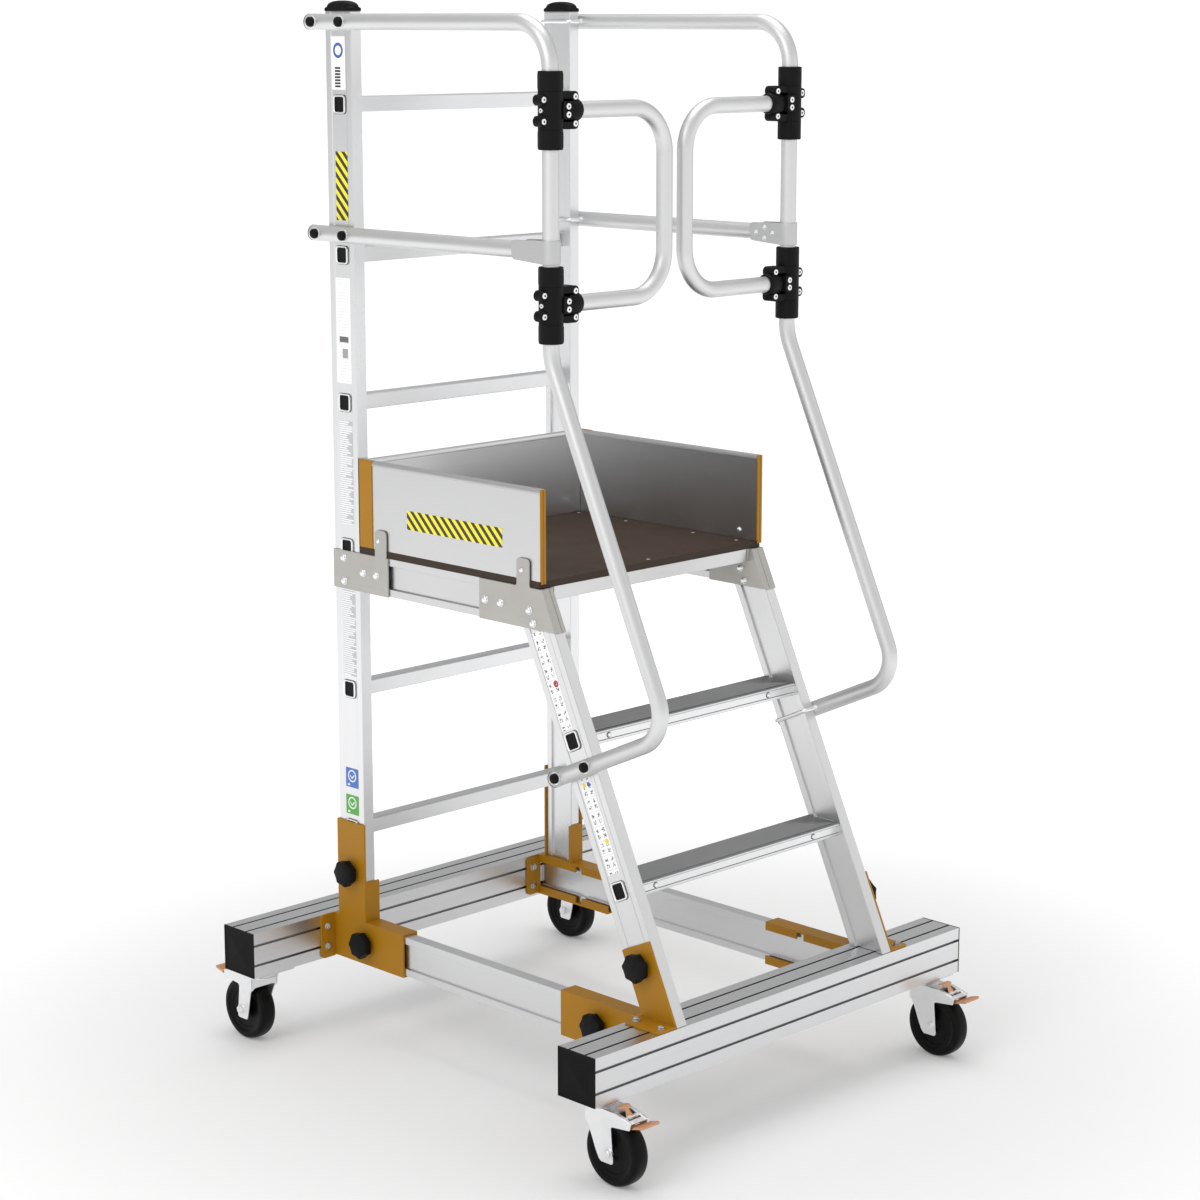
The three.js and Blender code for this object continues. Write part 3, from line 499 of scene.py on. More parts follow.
def soften(obj, width):
    bevel = obj.modifiers.new("soft_edges", "BEVEL")
    bevel.width = width * MM
    bevel.segments = 2
    bevel.limit_method = "ANGLE"
    bevel.angle_limit = radians(38)
    bevel.harden_normals = False


# ---- CAD nodes that keep their shape
def finish_node(name, material, bevel):
    obj = nodes[name]
    obj.data.materials.clear()
    obj.data.materials.append(material)
    weld = obj.modifiers.new("weld", "WELD")
    weld.merge_threshold = 0.00001
    soften(obj, bevel)
    flat = obj.modifiers.new("normals", "WEIGHTED_NORMAL")
    flat.keep_sharp = True


KEPT = {
    "front_beam": (BEAM, 0.8),
    "rear_beam": (BEAM, 0.8),
    "platform_board": (BOARD, 0.6),
    "platform_front_member": (ALU_MEMBER, 0.6),
    "platform_rear_member": (ALU_X, 0.8),
}
KEPT_PAIRS = {
    "side_rail": (ALU_Y, 0.7),
    "rear_stile": (ALU_Z, 1.0),
    "front_stile": (ALU_LEAN, 1.0),
    "platform_side_member": (ALU_PANEL, 0.7),
    "rear_bracket": (OCHRE, 1.1),
    "front_bracket": (OCHRE, 1.1),
    "corner_plate_rear": (STEEL, 0.6),
}
for name, finish in KEPT.items():
    finish_node(name, *finish)
for name, finish in KEPT_PAIRS.items():
    for side in SIDES:
        finish_node(f"{name}_{side}", *finish)
for number in range(1, len(RUNGS) + 1):
    finish_node(f"rung_{number}", ALU_X, 0.8)


# ---- fasteners
def dome_head(shape, point, normal, radius, height):
    profile = [(radius, -0.4), (radius, height * 0.25), (radius * 0.93, height * 0.55)]
    profile += [(radius * 0.72, height * 0.85), (radius * 0.4, height), (0, height * 1.03)]
    shape.turn(profile, point, normal, 20)


def washer(shape, point, normal, radius, thickness, bore=2.0):
    profile = [(bore, 0), (radius, 0), (radius, thickness * 0.7), (radius - 0.4, thickness), (bore, thickness)]
    shape.turn(profile, point, normal, 24, closed=True)


def hex_nut(shape, point, normal, radius, height):
    profile = [(radius * 0.93, 0), (radius, height * 0.15), (radius, height * 0.8), (radius * 0.88, height)]
    profile += [(radius * 0.45, height), (radius * 0.45, height * 1.25), (radius * 0.36, height * 1.35)]
    profile += [(0, height * 1.35)]
    shape.turn(profile, point, normal, 6)


def socket_screw(shape, point, normal, radius, height):
    """Round screw head with a hexagon socket sunk in it."""
    profile = [(radius * 0.34, -0.5), (radius, -0.5), (radius, height * 0.7)]
    profile += [(radius - 0.5, height), (radius * 0.38, height)]
    shape.turn(profile, point, normal, 18, closed=True)


# ---- rails
HAND_CORNERS = [
    (-RAIL_X, RAIL_END_Y, RAIL_TOP),
    (-RAIL_X, POST_Y, RAIL_TOP),
    (-RAIL_X, POST_Y, 1400),
    (-RAIL_X, -504, 776),
    (-RAIL_X, -218, 643.5),
]
HAND_BENDS = (80, 110, 66)
LOW_UNIT = Vector((0, 286, -132.5)).normalized()
ROD_R = 3.5
ROD_NEAR = 328.2
ROD_FAR = 408.8
TIES = {
    "hand": ((ROD_NEAR, RAIL_TOP), (ROD_FAR, RAIL_TOP)),
    "knee": ((ROD_NEAR, KNEE_Z), (ROD_FAR, KNEE_Z)),
    "low": ((-312.5, 687.3), (-237.5, 652.5)),
}


def hand_rail(side):
    shape = Shape()
    shape.tube(HAND_CORNERS, HAND_BENDS, TUBE_R, 40, 18, inner=TUBE_R - 2)
    add("handrail_tube", shape, ALU_TUBE, side, replaces="handrail")
    plugs = Shape()
    end_plug(plugs, HAND_CORNERS[0], BACK)
    end_plug(plugs, HAND_CORNERS[-1], LOW_UNIT)
    end_plug(plugs, (-RAIL_X, RAIL_END_Y, KNEE_Z), BACK)
    add("rail_plugs", plugs, PLUG, side)


def end_plug(shape, point, direction):
    """Ribbed push-in plug whose rim lies on the tube's end, inside the tube's length."""
    centre = Vector(point) - Vector(direction).normalized() * 2.2
    profile = [(0, -14), (TUBE_R - 2.4, -14), (TUBE_R - 2.2, 0), (TUBE_R + 0.15, 0), (TUBE_R + 0.15, 1.5)]
    profile += [(TUBE_R - 1, 2.2), (TUBE_R - 4, 2.2), (TUBE_R - 5, 1.2), (0, 1.2)]
    shape.turn(profile, centre, direction, 32)


def tie_rods(side):
    """Bent rods round the stiles with black dome nuts on the rails' outer side."""
    rods = Shape()
    rims = Shape()
    nuts = Shape()
    for (y0, z0), (y1, z1) in TIES.values():
        outer = -RAIL_X - TUBE_R - 4
        inner = -INNER_X + ROD_R + 0.9
        bent = [(outer, y0, z0), (inner, y0, z0), (inner, y1, z1), (outer, y1, z1)]
        rods.tube(bent, (7, 7), ROD_R - 0.1, 16, 6)
        for y, z in ((y0, z0), (y1, z1)):
            washer(rims, (-RAIL_X - TUBE_R + 0.6, y, z), OUT, 11.6, 1.6, 3.0)
            washer(rods, (-RAIL_X + TUBE_R - 0.4, y, z), IN, 6.5, 1.0, 3.0)
            dome = [(9.3, 0), (9.5, 2), (9.2, 4.2), (8.2, 6.4), (6.2, 8.0), (3.2, 8.8), (0, 9.0)]
            nuts.turn(dome, (-RAIL_X - TUBE_R - 0.9, y, z), OUT, 28)
    add("tie_rods", rods, ZINC, side)
    add("tie_rims", rims, ALU_RIM, side)
    add("tie_nuts", nuts, BLACK, side)


def knee_rail(side):
    shape = Shape()
    ends = [(-RAIL_X, RAIL_END_Y, KNEE_Z), (-RAIL_X, -150, KNEE_Z)]
    shape.tube(ends, (), TUBE_R, 40, inner=TUBE_R - 2)
    add("knee_rail_tube", shape, ALU_TUBE, side, replaces="knee_rail")
    clamp = Shape()
    low, high = 1567.5, 1609
    skin = 2.2
    bore = TUBE_R + 0.35
    outline = clamp_outline(low, high)
    for x in (-RAIL_X - bore - skin, -RAIL_X + bore):
        clamp.prism(outline, "x", x, x + skin)
    band = arc(-RAIL_X, POST_Y, bore + skin, 180, 180, 12) + arc(-RAIL_X, POST_Y, bore, 360, -180, 12)
    clamp.prism(band, "z", low, high)
    add("knee_clamp", clamp, ALU_CLAMP, side, bevel=0.5)
    rivets = Shape()
    spots = [(-171, KNEE_Z + 10), (-171, KNEE_Z - 10), (-150, KNEE_Z), (-191, KNEE_Z)]
    for y, z in spots:
        washer(rivets, (-RAIL_X + bore + skin - 0.2, y, z), IN, 4.9, 0.6, 1.0)
        dome_head(rivets, (-RAIL_X + bore + skin + 0.3, y, z), IN, 3.9, 2.4)
    add("knee_clamp_rivets", rivets, ZINC, side)


def clamp_outline(low, high):
    """Side plate: full height at the post, with rounded corners at its end on the rail."""
    end, r = -142, 9
    lower = arc(end, low + 5 + r, r, -90, 90, 5)
    return [(POST_Y, high), (POST_Y, low)] + lower + arc(end, high - 2 - r, r, 0, 90, 5)


# ---- gates and their hinges
GATE_END_X = -26.7
# offset from the post, width, height, corner radius, steps and depth of the blocks in each half of a knuckle
KNUCKLE_BLOCKS = (
    (27, 0, 38, 40, 9, 6, 1), (20, 0, 22, 30, 6, 5, 1.87), (37, -23, 38, 19, 9, 8, 1),
    (-22, -18, 24, 19, 9, 8, 0.7), (37, 23, 38, 19, 9, 8, 1), (-22, 18, 24, 19, 9, 8, 0.7),
)


def hinge_sleeves(side):
    """The fixed halves of the hinges: ribbed moulded sleeves clamped on the post, over a thin black skin that darkens
    the seams as painted shade.
    """
    shape = Shape()
    # a thin black skin on the post under each hinge, so that the seams between sleeves and knuckle show dark: painted
    # shade
    seam_shade_skin = [(15.02, -36), (15.24, -36), (15.24, 36), (15.02, 36)]
    for z in GATE_Z:
        shape.turn(seam_shade_skin, (-RAIL_X, POST_Y, z), UP, 48, closed=True)
        for way in (-1, 1):
            near, far = 32.8 * way, 67 * way
            step = way * 1.2
            profile = [(15.3, near), (21.7, near), (22, near + 0.3 * way)]
            profile += [(22, far - step), (20.8, far), (15.3, far)]
            shape.turn(profile, (-RAIL_X, POST_Y, z), UP, 48, closed=True)
            for turn in (0.25, 0.75):
                rib_x = -RAIL_X + 21.6 * cos(2 * pi * turn + 0.6)
                rib_y = POST_Y + 21.6 * sin(2 * pi * turn + 0.6)
                low = z + min(near, far) + 4
                shape.turn([(1.4, 0), (1.4, 26)], (rib_x, rib_y, low), UP, 10)
    add("hinge_sleeves", shape, BLACK, side)


def knuckle(shape, screws, z):
    """The turning half of a hinge: a clamp round the post, ears on one side and a tube socket on the other."""
    post = Vector((-RAIL_X, POST_Y, z))
    ring = [(15.9, -32.5), (21.7, -32.5), (22, -32.2), (22, 32.2), (21.7, 32.5), (15.9, 32.5)]
    shape.turn(ring, post, UP, 48, closed=True)
    for y0, y1 in ((-12.6, -0.5), (0.5, 12.6)):
        for dx, dz, width, height, corner, steps, deep in KNUCKLE_BLOCKS:
            outline = rounded(post.x + dx, z + dz, width, height, corner, steps)
            shape.prism(outline, "y", POST_Y + y0 * deep, POST_Y + y1 * deep)
    socket = [(15.2, 34), (19, 34), (20.4, 36), (20.4, 57), (19.6, 61), (17.5, 63.8), (15.2, 64.5)]
    shape.turn(socket, post, IN, 40, closed=True)
    for way in (-1, 1):
        for dx, dz, face in ((47.5, 23, 12.6), (20.5, 7, 23.6), (-24.5, 18.5, 8.8)):
            front = (post.x + dx, POST_Y - face, z + way * dz)
            back = (post.x + dx, POST_Y + face, z + way * dz)
            socket_screw(screws, front, FRONT, 5.4, 1.8)
            hex_nut(screws, back, BACK, 5.0, 2.0)
    socket_screw(screws, (post.x - 22, POST_Y, z), OUT, 4.4, 1.8)


def gate(side):
    """A U-shaped tube with two hinge knuckles; it reaches almost to the middle of the platform."""
    tube = Shape()
    top, bottom = GATE_Z
    turns = ((-RAIL_X + 30, top), (GATE_END_X, top), (GATE_END_X, bottom), (-RAIL_X + 30, bottom))
    tube.tube([(x, POST_Y, z) for x, z in turns], (80, 80), TUBE_R, 40, 18)
    add("gate_tube", tube, ALU_TUBE, side, "gate", replaces="gate")
    knuckles = Shape()
    screws = Shape()
    for z in GATE_Z:
        knuckle(knuckles, screws, z)
    add("gate_knuckles", knuckles, BLACK, side, "gate", bevel=0.9)
    add("gate_screws", screws, ZINC, side, "gate")


# ---- stile caps, rung plugs and tread plugs
def stile_cap(side):
    """Moulded cap: a flange on the stile's upper end and a domed top."""
    x = -(OUTER_X + INNER_X) / 2
    rings = []
    for z, inset in ((1999.3, 0.6), (2000.2, 0), (2004.3, 0), (2005.6, 0.7), (2006.0, 1.8)):
        points = rounded(x, REAR_Y, 31 - 2 * inset, 79 - 2 * inset, 8 - inset, 7)
        rings.append([(px, py, z) for px, py in points])
    for i in range(1, 13):
        lift = sin(i / 12 * pi / 2)
        spread = (1 - lift ** 2.3) ** (1 / 2.3)
        width = max(27.4 * spread ** 0.7, 0.6)
        depth = max(75.4 * spread, 1.2)
        points = rounded(x, REAR_Y, width, depth, width * 0.45, 7)
        rings.append([(px, py, 2006.0 + 13.0 * lift) for px, py in points])
    shape = Shape().loft(rings)
    add("stile_cap_dome", shape, BLACK, side, replaces="stile_cap")


# width, height, corner radius and lift of each ring of a rung's flared rim, its plug and a thin dark ring round the
# rim on the stile's face, which is a painted shadow
RIM_RINGS = (
    (35, 34.5, 7, -1.4), (35, 34.5, 7, 0.6), (33.4, 33, 6.4, 1.8),
    (28.4, 30, 4.8, 1.8), (26, 28, 3.6, 0.8), (26, 28, 3.6, -1.4),
)
PLUG_RINGS = (
    (25.7, 27.7, 3.5, -1.3), (25.7, 27.7, 3.5, 0.3), (24.4, 26.4, 3.1, 0.9),
    (20, 22, 2.4, 0.9), (19, 21, 2.0, 0.3), (8, 8, 1.2, 0.1),
)
SHADOW_OUTLINE_RINGS = ((36.2, 35.7, 7.6, -0.3), (36.2, 35.7, 7.6, 0.3), (35.1, 34.6, 7.1, 0.3), (35.1, 34.6, 7.1, -0.3))


def plug_set(rims, plugs, centre, up, across):
    """Square black plug in the flared rim of a rung's or tread's end, on a stile's outer face, with a thin dark ring
    round the rim as a painted shadow.
    """
    centre = Vector(centre)
    up = Vector(up).normalized()
    across = Vector(across).normalized()
    out = Vector(OUT)

    def ring(width, height, radius, lift):
        return [centre + across * u + up * v + out * lift for u, v in rounded(0, 0, width, height, radius, 5)]

    for shape, sizes, closed in ((rims, RIM_RINGS, True), (plugs, PLUG_RINGS, False), (plugs, SHADOW_OUTLINE_RINGS, True)):
        shape.loft([ring(*size) for size in sizes], closed)


def stile_plugs(side):
    rims = Shape()
    plugs = Shape()
    for z in RUNGS:
        plug_set(rims, plugs, (-OUTER_X, REAR_Y, z), UP, BACK)
    lean_up = Vector((0, LEAN, 1)).normalized()
    lean_across = Vector((0, 1, -LEAN)).normalized()
    for y, z in ((-249.9, 717.8), (-368.1, 464.3)):
        plug_set(rims, plugs, (-OUTER_X, y, z), lean_up, lean_across)
    add("plug_rims", rims, ALU_RIM, side)
    # the plugs share their object with the painted shadow rings round the rims
    add("plugs", plugs, PLUG, side)


def rung_ends(side):
    """Short sockets that carry each rung through the recess in the stile's inner face."""
    shape = Shape()
    for z in RUNGS:
        shape.prism(rounded(REAR_Y, z, 28.6, 28.6, 3, 3), "x", -INNER_X - 4.2, -INNER_X + 0.6)
    for top, back in TREAD_SPOTS.values():
        shape.box((-INNER_X - 4.2, -INNER_X + 0.6), (back - 80, back - 0.4), (top - 25.6, top - 1.2))
    add("rung_ends", shape, ALU_SHEET, side)


# ---- treads
# the stepped nose below the bead: distance behind the front edge and below the top
TREAD_NOSE = ((4.2, 7.4), (4.2, 19.5), (2.8, 20.8), (2.8, 24), (3.4, 26), (8, 26), (8, 23.6), (7, 22.8), (7, 5.4))


def tread(name, top, back):
    """Extruded tread: fine anti-slip ribs, a round bead along the front and a stepped nose."""
    depth = 82
    front = back - depth
    outline = [(back, top - 26), (back, top - 2.2), (back - 1.2, top - 1)]
    ribs = 17
    pitch = (depth - 12) / ribs
    for i in range(ribs):
        start = back - 3 - i * pitch
        end = start - pitch * 0.5
        outline += [(start, top - 1), (start - 0.5, top), (end, top), (end - 0.5, top - 1)]
    outline += [(front + 8.2, top - 1), (front + 7.2, top - 1.2)]
    outline += arc(front + 3.6, top - 3.6, 3.6, 60, 200, 8)
    outline += [(front + u, top - v) for u, v in TREAD_NOSE] + [(back - 3.6, top - 5.4), (back - 3.6, top - 26)]
    shape = Shape().prism(outline, "x", -INNER_X + 0.3, INNER_X - 0.3)
    add(f"{name}_ribbed", shape, ALU_TREAD, angle=32, replaces=name)
    rivets = Shape()
    shadow_rings = Shape()
    for x in (-231, 198):
        # a thin dark ring under each rivet head: painted shadow round the rivet
        washer(shadow_rings, (x, front + 4.3, top - 13.4), FRONT, 5.6, 0.5, 2.0)
        dome_head(rivets, (x, front + 4.0, top - 13.4), FRONT, 4.6, 3.2)
    add(f"{name}_rivets", rivets, ALU_RIM)
    add(f"{name}_rivet_seats", shadow_rings, PLUG)


# ---- platform
TOE_LOW = 996.3
TOE_TOP = 1164
TOE_FRONT = -169.5
TOE_THICK = 12.5
TOE_REAR = 328


def toe_outline(outer, inner):
    """Cross-section of a toe board between two faces: a bead at the top and a flat face below it."""
    way = 1 if inner > outer else -1
    points = []
    for face, sign, step, nose in ((outer, way, 0.9, 3), (inner, -way, 0.35, 1.2)):
        side = [(face + sign * step, TOE_LOW), (face + sign * step, TOE_TOP - 9)]
        side += [(face, TOE_TOP - 9 + step), (face, TOE_TOP - nose), (face + sign * nose * 0.4, TOE_TOP - nose * 0.3)]
        side += [(face + sign * nose, TOE_TOP)]
        points.append(side)
    return points[0] + list(reversed(points[1]))


def toe_boards():
    """Side boards with yellow strips at both ends, and the plain rear board between them."""
    outer, middle, inner = -OUTER_X, -OUTER_X + TOE_THICK / 2, -OUTER_X + TOE_THICK
    face = TOE_FRONT - 2
    for side in SIDES:
        shape = Shape().prism(toe_outline(outer, inner), "y", TOE_FRONT, TOE_REAR)
        add("toe_side", shape, ALU_PANEL, side, replaces="toe_board")
        strips = Shape()
        cap = [(outer - 0.2, TOE_FRONT + 1), (outer - 0.2, face + 0.6), (outer + 0.4, face), (middle - 1, face)]
        cap += [(middle - 0.4, face + 1.2), (middle + 0.4, face + 1.2), (middle + 1, face)]
        cap += [(inner - 0.4, face), (inner + 0.2, face + 0.6), (inner + 0.2, TOE_FRONT + 1)]
        strips.prism(cap, "z", TOE_LOW + 0.2, TOE_TOP - 0.4)
        strips.prism([point for point in cap if point[1] < TOE_FRONT], "z", TOE_LOW - 4.5, TOE_LOW + 0.2)
        strips.prism(rear_strip_outline(), "y", 292, TOE_REAR + 0.6)
        add("toe_strips", strips, OCHRE, side, bevel=0.3)
    span = OUTER_X - TOE_THICK - 0.3
    shape = Shape().prism(toe_outline(TOE_REAR - TOE_THICK, TOE_REAR), "x", -span, span)
    add("toe_rear", shape, ALU_X, replaces="toe_board_rear")


def rear_strip_outline():
    skin = 0.7
    outer = -OUTER_X - skin
    points = [(outer, TOE_LOW), (outer, TOE_TOP - 2), (outer + 2, TOE_TOP + skin), (-OUTER_X + 9, TOE_TOP + skin)]
    return points + [(-OUTER_X + 9, TOE_TOP - 3), (-OUTER_X + 3, TOE_TOP - 3), (-OUTER_X + 2, TOE_LOW)]


PLATE_FACE = 298.3
PLATE_SKIN = 3
PLATE_GAP = 0.45  # between the stile's front face and the plate
SEAM_X = -278.5
SCREW_SEAT = 995.9
REAR_BOLTS = [(375, 968.6), (374.3, 923.2), (318, 946), (279.8, 946)]
FRONT_BOLTS = [(-26.3, 944.7), (-67.3, 944.2), (-142.8, 941.7), (-153.3, 918.8)]


def tab_points(y0, width, base):
    """Tab with rounded top corners and small fillets where it grows from the plate."""
    top, r, fillet = 1035, 8, 5
    points = [(y0 + width + fillet, base), (y0 + width + 1.4, base + 1.4), (y0 + width, base + fillet)]
    points += arc(y0 + width - r, top - r, r, 0, 90, 5) + arc(y0 + r, top - r, r, 90, 90, 5)
    return points + [(y0, base + fillet), (y0 - 1.4, base + 1.4), (y0 - fillet, base)]


def wrap_ring(z, face, toward, back, seam, skin, bend=5.0):
    """One half of the folded plate in plan: from its rear end round the bend to the seam."""
    front = front_y(z) - PLATE_GAP - skin
    points = [(face + toward * PLATE_SKIN, back, z), (face, back, z)]
    for i in range(7):
        angle = pi / 2 * i / 6
        x = face + toward * bend * (1 - cos(angle))
        points.append((x, front + bend * (1 - sin(angle)), z))
    points += [(seam, front, z), (seam, front + skin, z)]
    inner = bend - PLATE_SKIN
    for i in reversed(range(7)):
        angle = pi / 2 * i / 6
        x = face + toward * (PLATE_SKIN + inner * (1 - cos(angle)))
        points.append((x, front + skin + inner * (1 - sin(angle)), z))
    return points


# cross-section of the dark strip in the seam gap between the folds: painted shade
SEAM_SHADOW_STRIP = ((SEAM_X - 1.3, 0.6), (SEAM_X - 1.3, 0), (SEAM_X + 1.3, 0), (SEAM_X + 1.3, 0.6))


def corner_plates(side):
    """The front plate wraps round the stile; its two folds meet in a seam on the stile's front face."""
    low, high = 908, 983
    skin = PLATE_SKIN * hypot(1, LEAN)
    shape = Shape()
    for face, toward, back in ((-PLATE_FACE, 1, -10), (-INNER_X + 0.3 + PLATE_SKIN, -1, -60)):
        rings = [wrap_ring(z, face, toward, back, SEAM_X - toward * 0.5, skin) for z in (low, high)]
        shape.loft(rings)
    shape.prism(tab_points(-143, 33, high - 0.5), "x", -PLATE_FACE, -PLATE_FACE + PLATE_SKIN)
    shape.box((-INNER_X + 3.4, -258.4), (-165.5, -141), (958.4, 983))
    add("corner_wrap", shape, STEEL, side, bevel=0.4, replaces="corner_plate_front")
    # dark strips in the seam between the folds and on the end of the inner block: painted shade in those gaps
    seam_shadows = Shape()
    strip = [(z, front_y(z) - PLATE_GAP - skin + 1.2) for z in (low + 0.5, high - 0.5)]
    seam_shadows.loft([[(x, y + deep, z) for x, deep in SEAM_SHADOW_STRIP] for z, y in strip])
    seam_shadows.box((-258.4, -257.6), (-165.3, -141), (958.6, 982.8))
    add("corner_seam_shadows", seam_shadows, PLUG, side)
    bolts = Shape()
    for y, z in REAR_BOLTS + FRONT_BOLTS:
        washer(bolts, (-PLATE_FACE, y, z), OUT, 7.8, 1.0, 2.0)
        dome_head(bolts, (-PLATE_FACE - 1.0, y, z), OUT, 6.7, 4.2)
    for y, z in ((272.3, 1013.5), (-123.2, 1012.5)):
        dome_head(bolts, (-PLATE_FACE, y, z), OUT, 4.6, 2.6)
        washer(bolts, (-OUTER_X + TOE_THICK - 1, y, z), IN, 6.0, 1.2, 1.0)
        dome_head(bolts, (-OUTER_X + TOE_THICK, y, z), IN, 4.8, 3.0)
    for y, z in ((-142, 942), (-152, 919), (-67, 944)):
        washer(bolts, (-INNER_X + 0.3 + PLATE_SKIN, y, z), IN, 7.2, 1.0, 2.0)
        dome_head(bolts, (-INNER_X + 1.3 + PLATE_SKIN, y, z), IN, 6.2, 4.2)
    add("corner_bolts", bolts, ZINC, side)


def board_screws():
    shape = Shape()
    for x in (-262, 262):
        for y in (-135, -20, 165, 300):
            socket_screw(shape, (x, y, SCREW_SEAT), UP, 3.6, 0.9)
    for y in (-152, 300):
        socket_screw(shape, (0, y, SCREW_SEAT), UP, 3.6, 0.9)
    add("board_screws", shape, ZINC)


# ---- bracket bolts
def bracket_bolts(side):
    shape = Shape()
    front_face = 424.7 - 3.7
    for x in (-318, -243.6):
        for z in (180, 221):
            washer(shape, (x, front_face, z), FRONT, 8.0, 1.4, 2.0)
            hex_nut(shape, (x, front_face - 1.4, z), FRONT, 6.2, 4.6)
    top = BEAM_TOP + 4
    for y in (-441, -501):
        washer(shape, (-325, y, top), UP, 8.0, 1.4, 2.0)
        hex_nut(shape, (-325, y, top + 1.4), UP, 6.2, 4.6)
    add("bracket_bolts", shape, BOLT, side)


def cap_rims():
    """The thin black flange of each beam's end cap, seen from the side as a narrow edge."""
    shape = Shape()
    low, high, out, skin = 155.0, 245.0, 45.15, 2.0
    for y in (-BEAM_Y, BEAM_Y):
        for x0, x1 in ((-502.6, -500.1), (500.1, 502.6)):
            shape.box((x0, x1), (y - out, y + out), (high + 0.15 - skin, high + 0.15))
            shape.box((x0, x1), (y - out, y + out), (low - 0.15, low - 0.15 + skin))
            for face in (-out, out - skin):
                shape.box((x0, x1), (y + face, y + face + skin), (low + skin - 0.1, high - skin + 0.1))
    add("beam_cap_rims", shape, PLUG)


# ---- star knobs
KNOBS = {
    "rear_stile": (368.5, 340),
    "rear_rail": (327, 202),
    "front_rail": (-320, 202),
    "front_stile": (-428.1, 340),
}


def star_knob(spot, side):
    """Clamping knob with seven lobes, and the washer under it."""
    y, z = KNOBS[spot]
    count = 84
    rings = []
    levels = [(7.0, -3.0), (7.8, -1.2), (9.6, 0), (20.5, 0), (22.6, -0.5), (24.4, -1.8), (25.4, -3.8)]
    for lift, shrink in levels:
        ring = []
        for i in range(count):
            angle = 2 * pi * i / count
            wave = cos(7 * angle)
            radius = 25.0 + 1.35 * wave + 0.35 * cos(14 * angle) + shrink
            ring.append((-WEB_X - lift, y + radius * cos(angle), z + radius * sin(angle)))
        rings.append(ring)
    shape = Shape().loft(rings)
    shape.turn([(9.5, 0.4), (9.5, 4), (12, 6), (15, 8)], (-WEB_X, y, z), OUT, 28)
    knob = f"knob_{spot}"
    add(f"star_{spot}", shape, BLACK, side, knob, angle=50, replaces=knob)
    ring = Shape()
    washer(ring, (-WEB_X, y, z), OUT, 12.0, 1.3, 3.0)
    add(f"knob_washer_{spot}", ring, ZINC, side, knob)


# ---- castors, drawn about the swivel axis with the wheel trailing toward -Y
CASTOR_X = 445
BEAM_Y = 470
TRAIL = 43
WHEEL_R = 62.5
CORNERS = {"front_left": (-1, -1), "front_right": (1, -1), "rear_left": (-1, 1), "rear_right": (1, 1)}


def castor_fork():
    """Pressed fork: flat legs at the wheel that flare out to a crown as wide as the bearing."""
    shape = Shape()
    edge = [(-21, 50), (-14.5, 68), (-8.5, 88), (-3, 104), (0.5, 112), (3, 116), (4, 117), (4, 141)]
    leg = [(-98, 131.5), (-93, 118), (-52, 113.4), (-48.5, 110), (-54, 50), (-53, 46), (-50, 44.2), (-46, 44)]
    leg += [(-26, 44)] + edge + [(-27, 141), (-62, 141)]
    for x in (-22.5, 19.5):
        shape.prism(leg, "x", x, x + 3)
    flare(shape)
    crown = [(-22.4, -40), (-22.4, -58), (22.4, -58), (22.4, -40), (22.4, -27), (32.6, 3)]
    crown += arc(0, 0, 30.4, 15, 150, 10) + [(-32.6, 3), (-22.4, -27)]
    shape.prism(crown, "z", 137.6, 141)
    arch = [(-32.6, 137.7), (-32.6, 112), (-29, 112.4), (-25, 115.6), (-20, 117)]
    shape.prism(arch + [(-x, z) for x, z in reversed(arch)], "y", 1.2, 4)
    hood = [(-58, 141), (-62, 141), (-98, 131.5), (-97, 128.5), (-60, 138)]
    for x0, x1 in ((-22.4, -15), (15, 22.4)):
        shape.prism(hood, "x", x0, x1)
    lip = [(-88, 134.2), (-98, 131.5), (-97, 128.5), (-88, 131)]
    shape.prism(lip, "x", -15.2, 15.2)
    return shape


def flare(shape, line=-27, slope=0.33):
    """Turns the part of both legs ahead of the bend line outward."""
    bm = shape.bm
    geometry = bm.verts[:] + bm.edges[:] + bm.faces[:]
    bmesh.ops.bisect_plane(bm, geom=geometry, plane_co=Vector((0, line, 0)) * MM, plane_no=BACK)
    for vert in bm.verts:
        x, y, _ = vert.co / MM
        if y > line:
            vert.co.x += copysign((y - line) * slope, x) * MM


def castor_bearing():
    """Ball race on the crown, the king pin, the axle and the brake's spring."""
    shape = Shape()
    race = [(4, 140.4), (27, 140.4), (29, 141.6), (29, 143), (27.4, 144)]
    race += [(27.4, 146), (30, 146.8), (30.6, 148.4), (29.6, 150.6), (4, 150.6)]
    shape.turn(race, (0, 0, 0), UP, 48, closed=True)
    shape.turn([(9, 131), (10, 132), (10, 137.8)], (0, 0, 0), UP, 6)
    for way in (-1, 1):
        washer(shape, (22.4 * way, -TRAIL, WHEEL_R), (way, 0, 0), 10.5, 1.4, 4)
        hex_nut(shape, (23.8 * way, -TRAIL, WHEEL_R), (way, 0, 0), 8.4, 4.6)
        shape.turn([(7.5, 16.4), (7.5, 19.6)], (0, -TRAIL, WHEEL_R), (way, 0, 0), 24)
        coil = [(2.2, -3.8)]
        for i in range(5):
            coil += [(3.9, -3.4 + 1.5 * i), (3.9, -2.6 + 1.5 * i), (2.9, -2.3 + 1.5 * i)]
        shape.turn(coil + [(2.2, 4.2)], (8.8 * way, -80, 135.4), IN, 16, closed=True)
    shape.turn([(2.0, -19.6), (2.0, 19.6)], (0, -80, 135.4), IN, 12)
    return shape


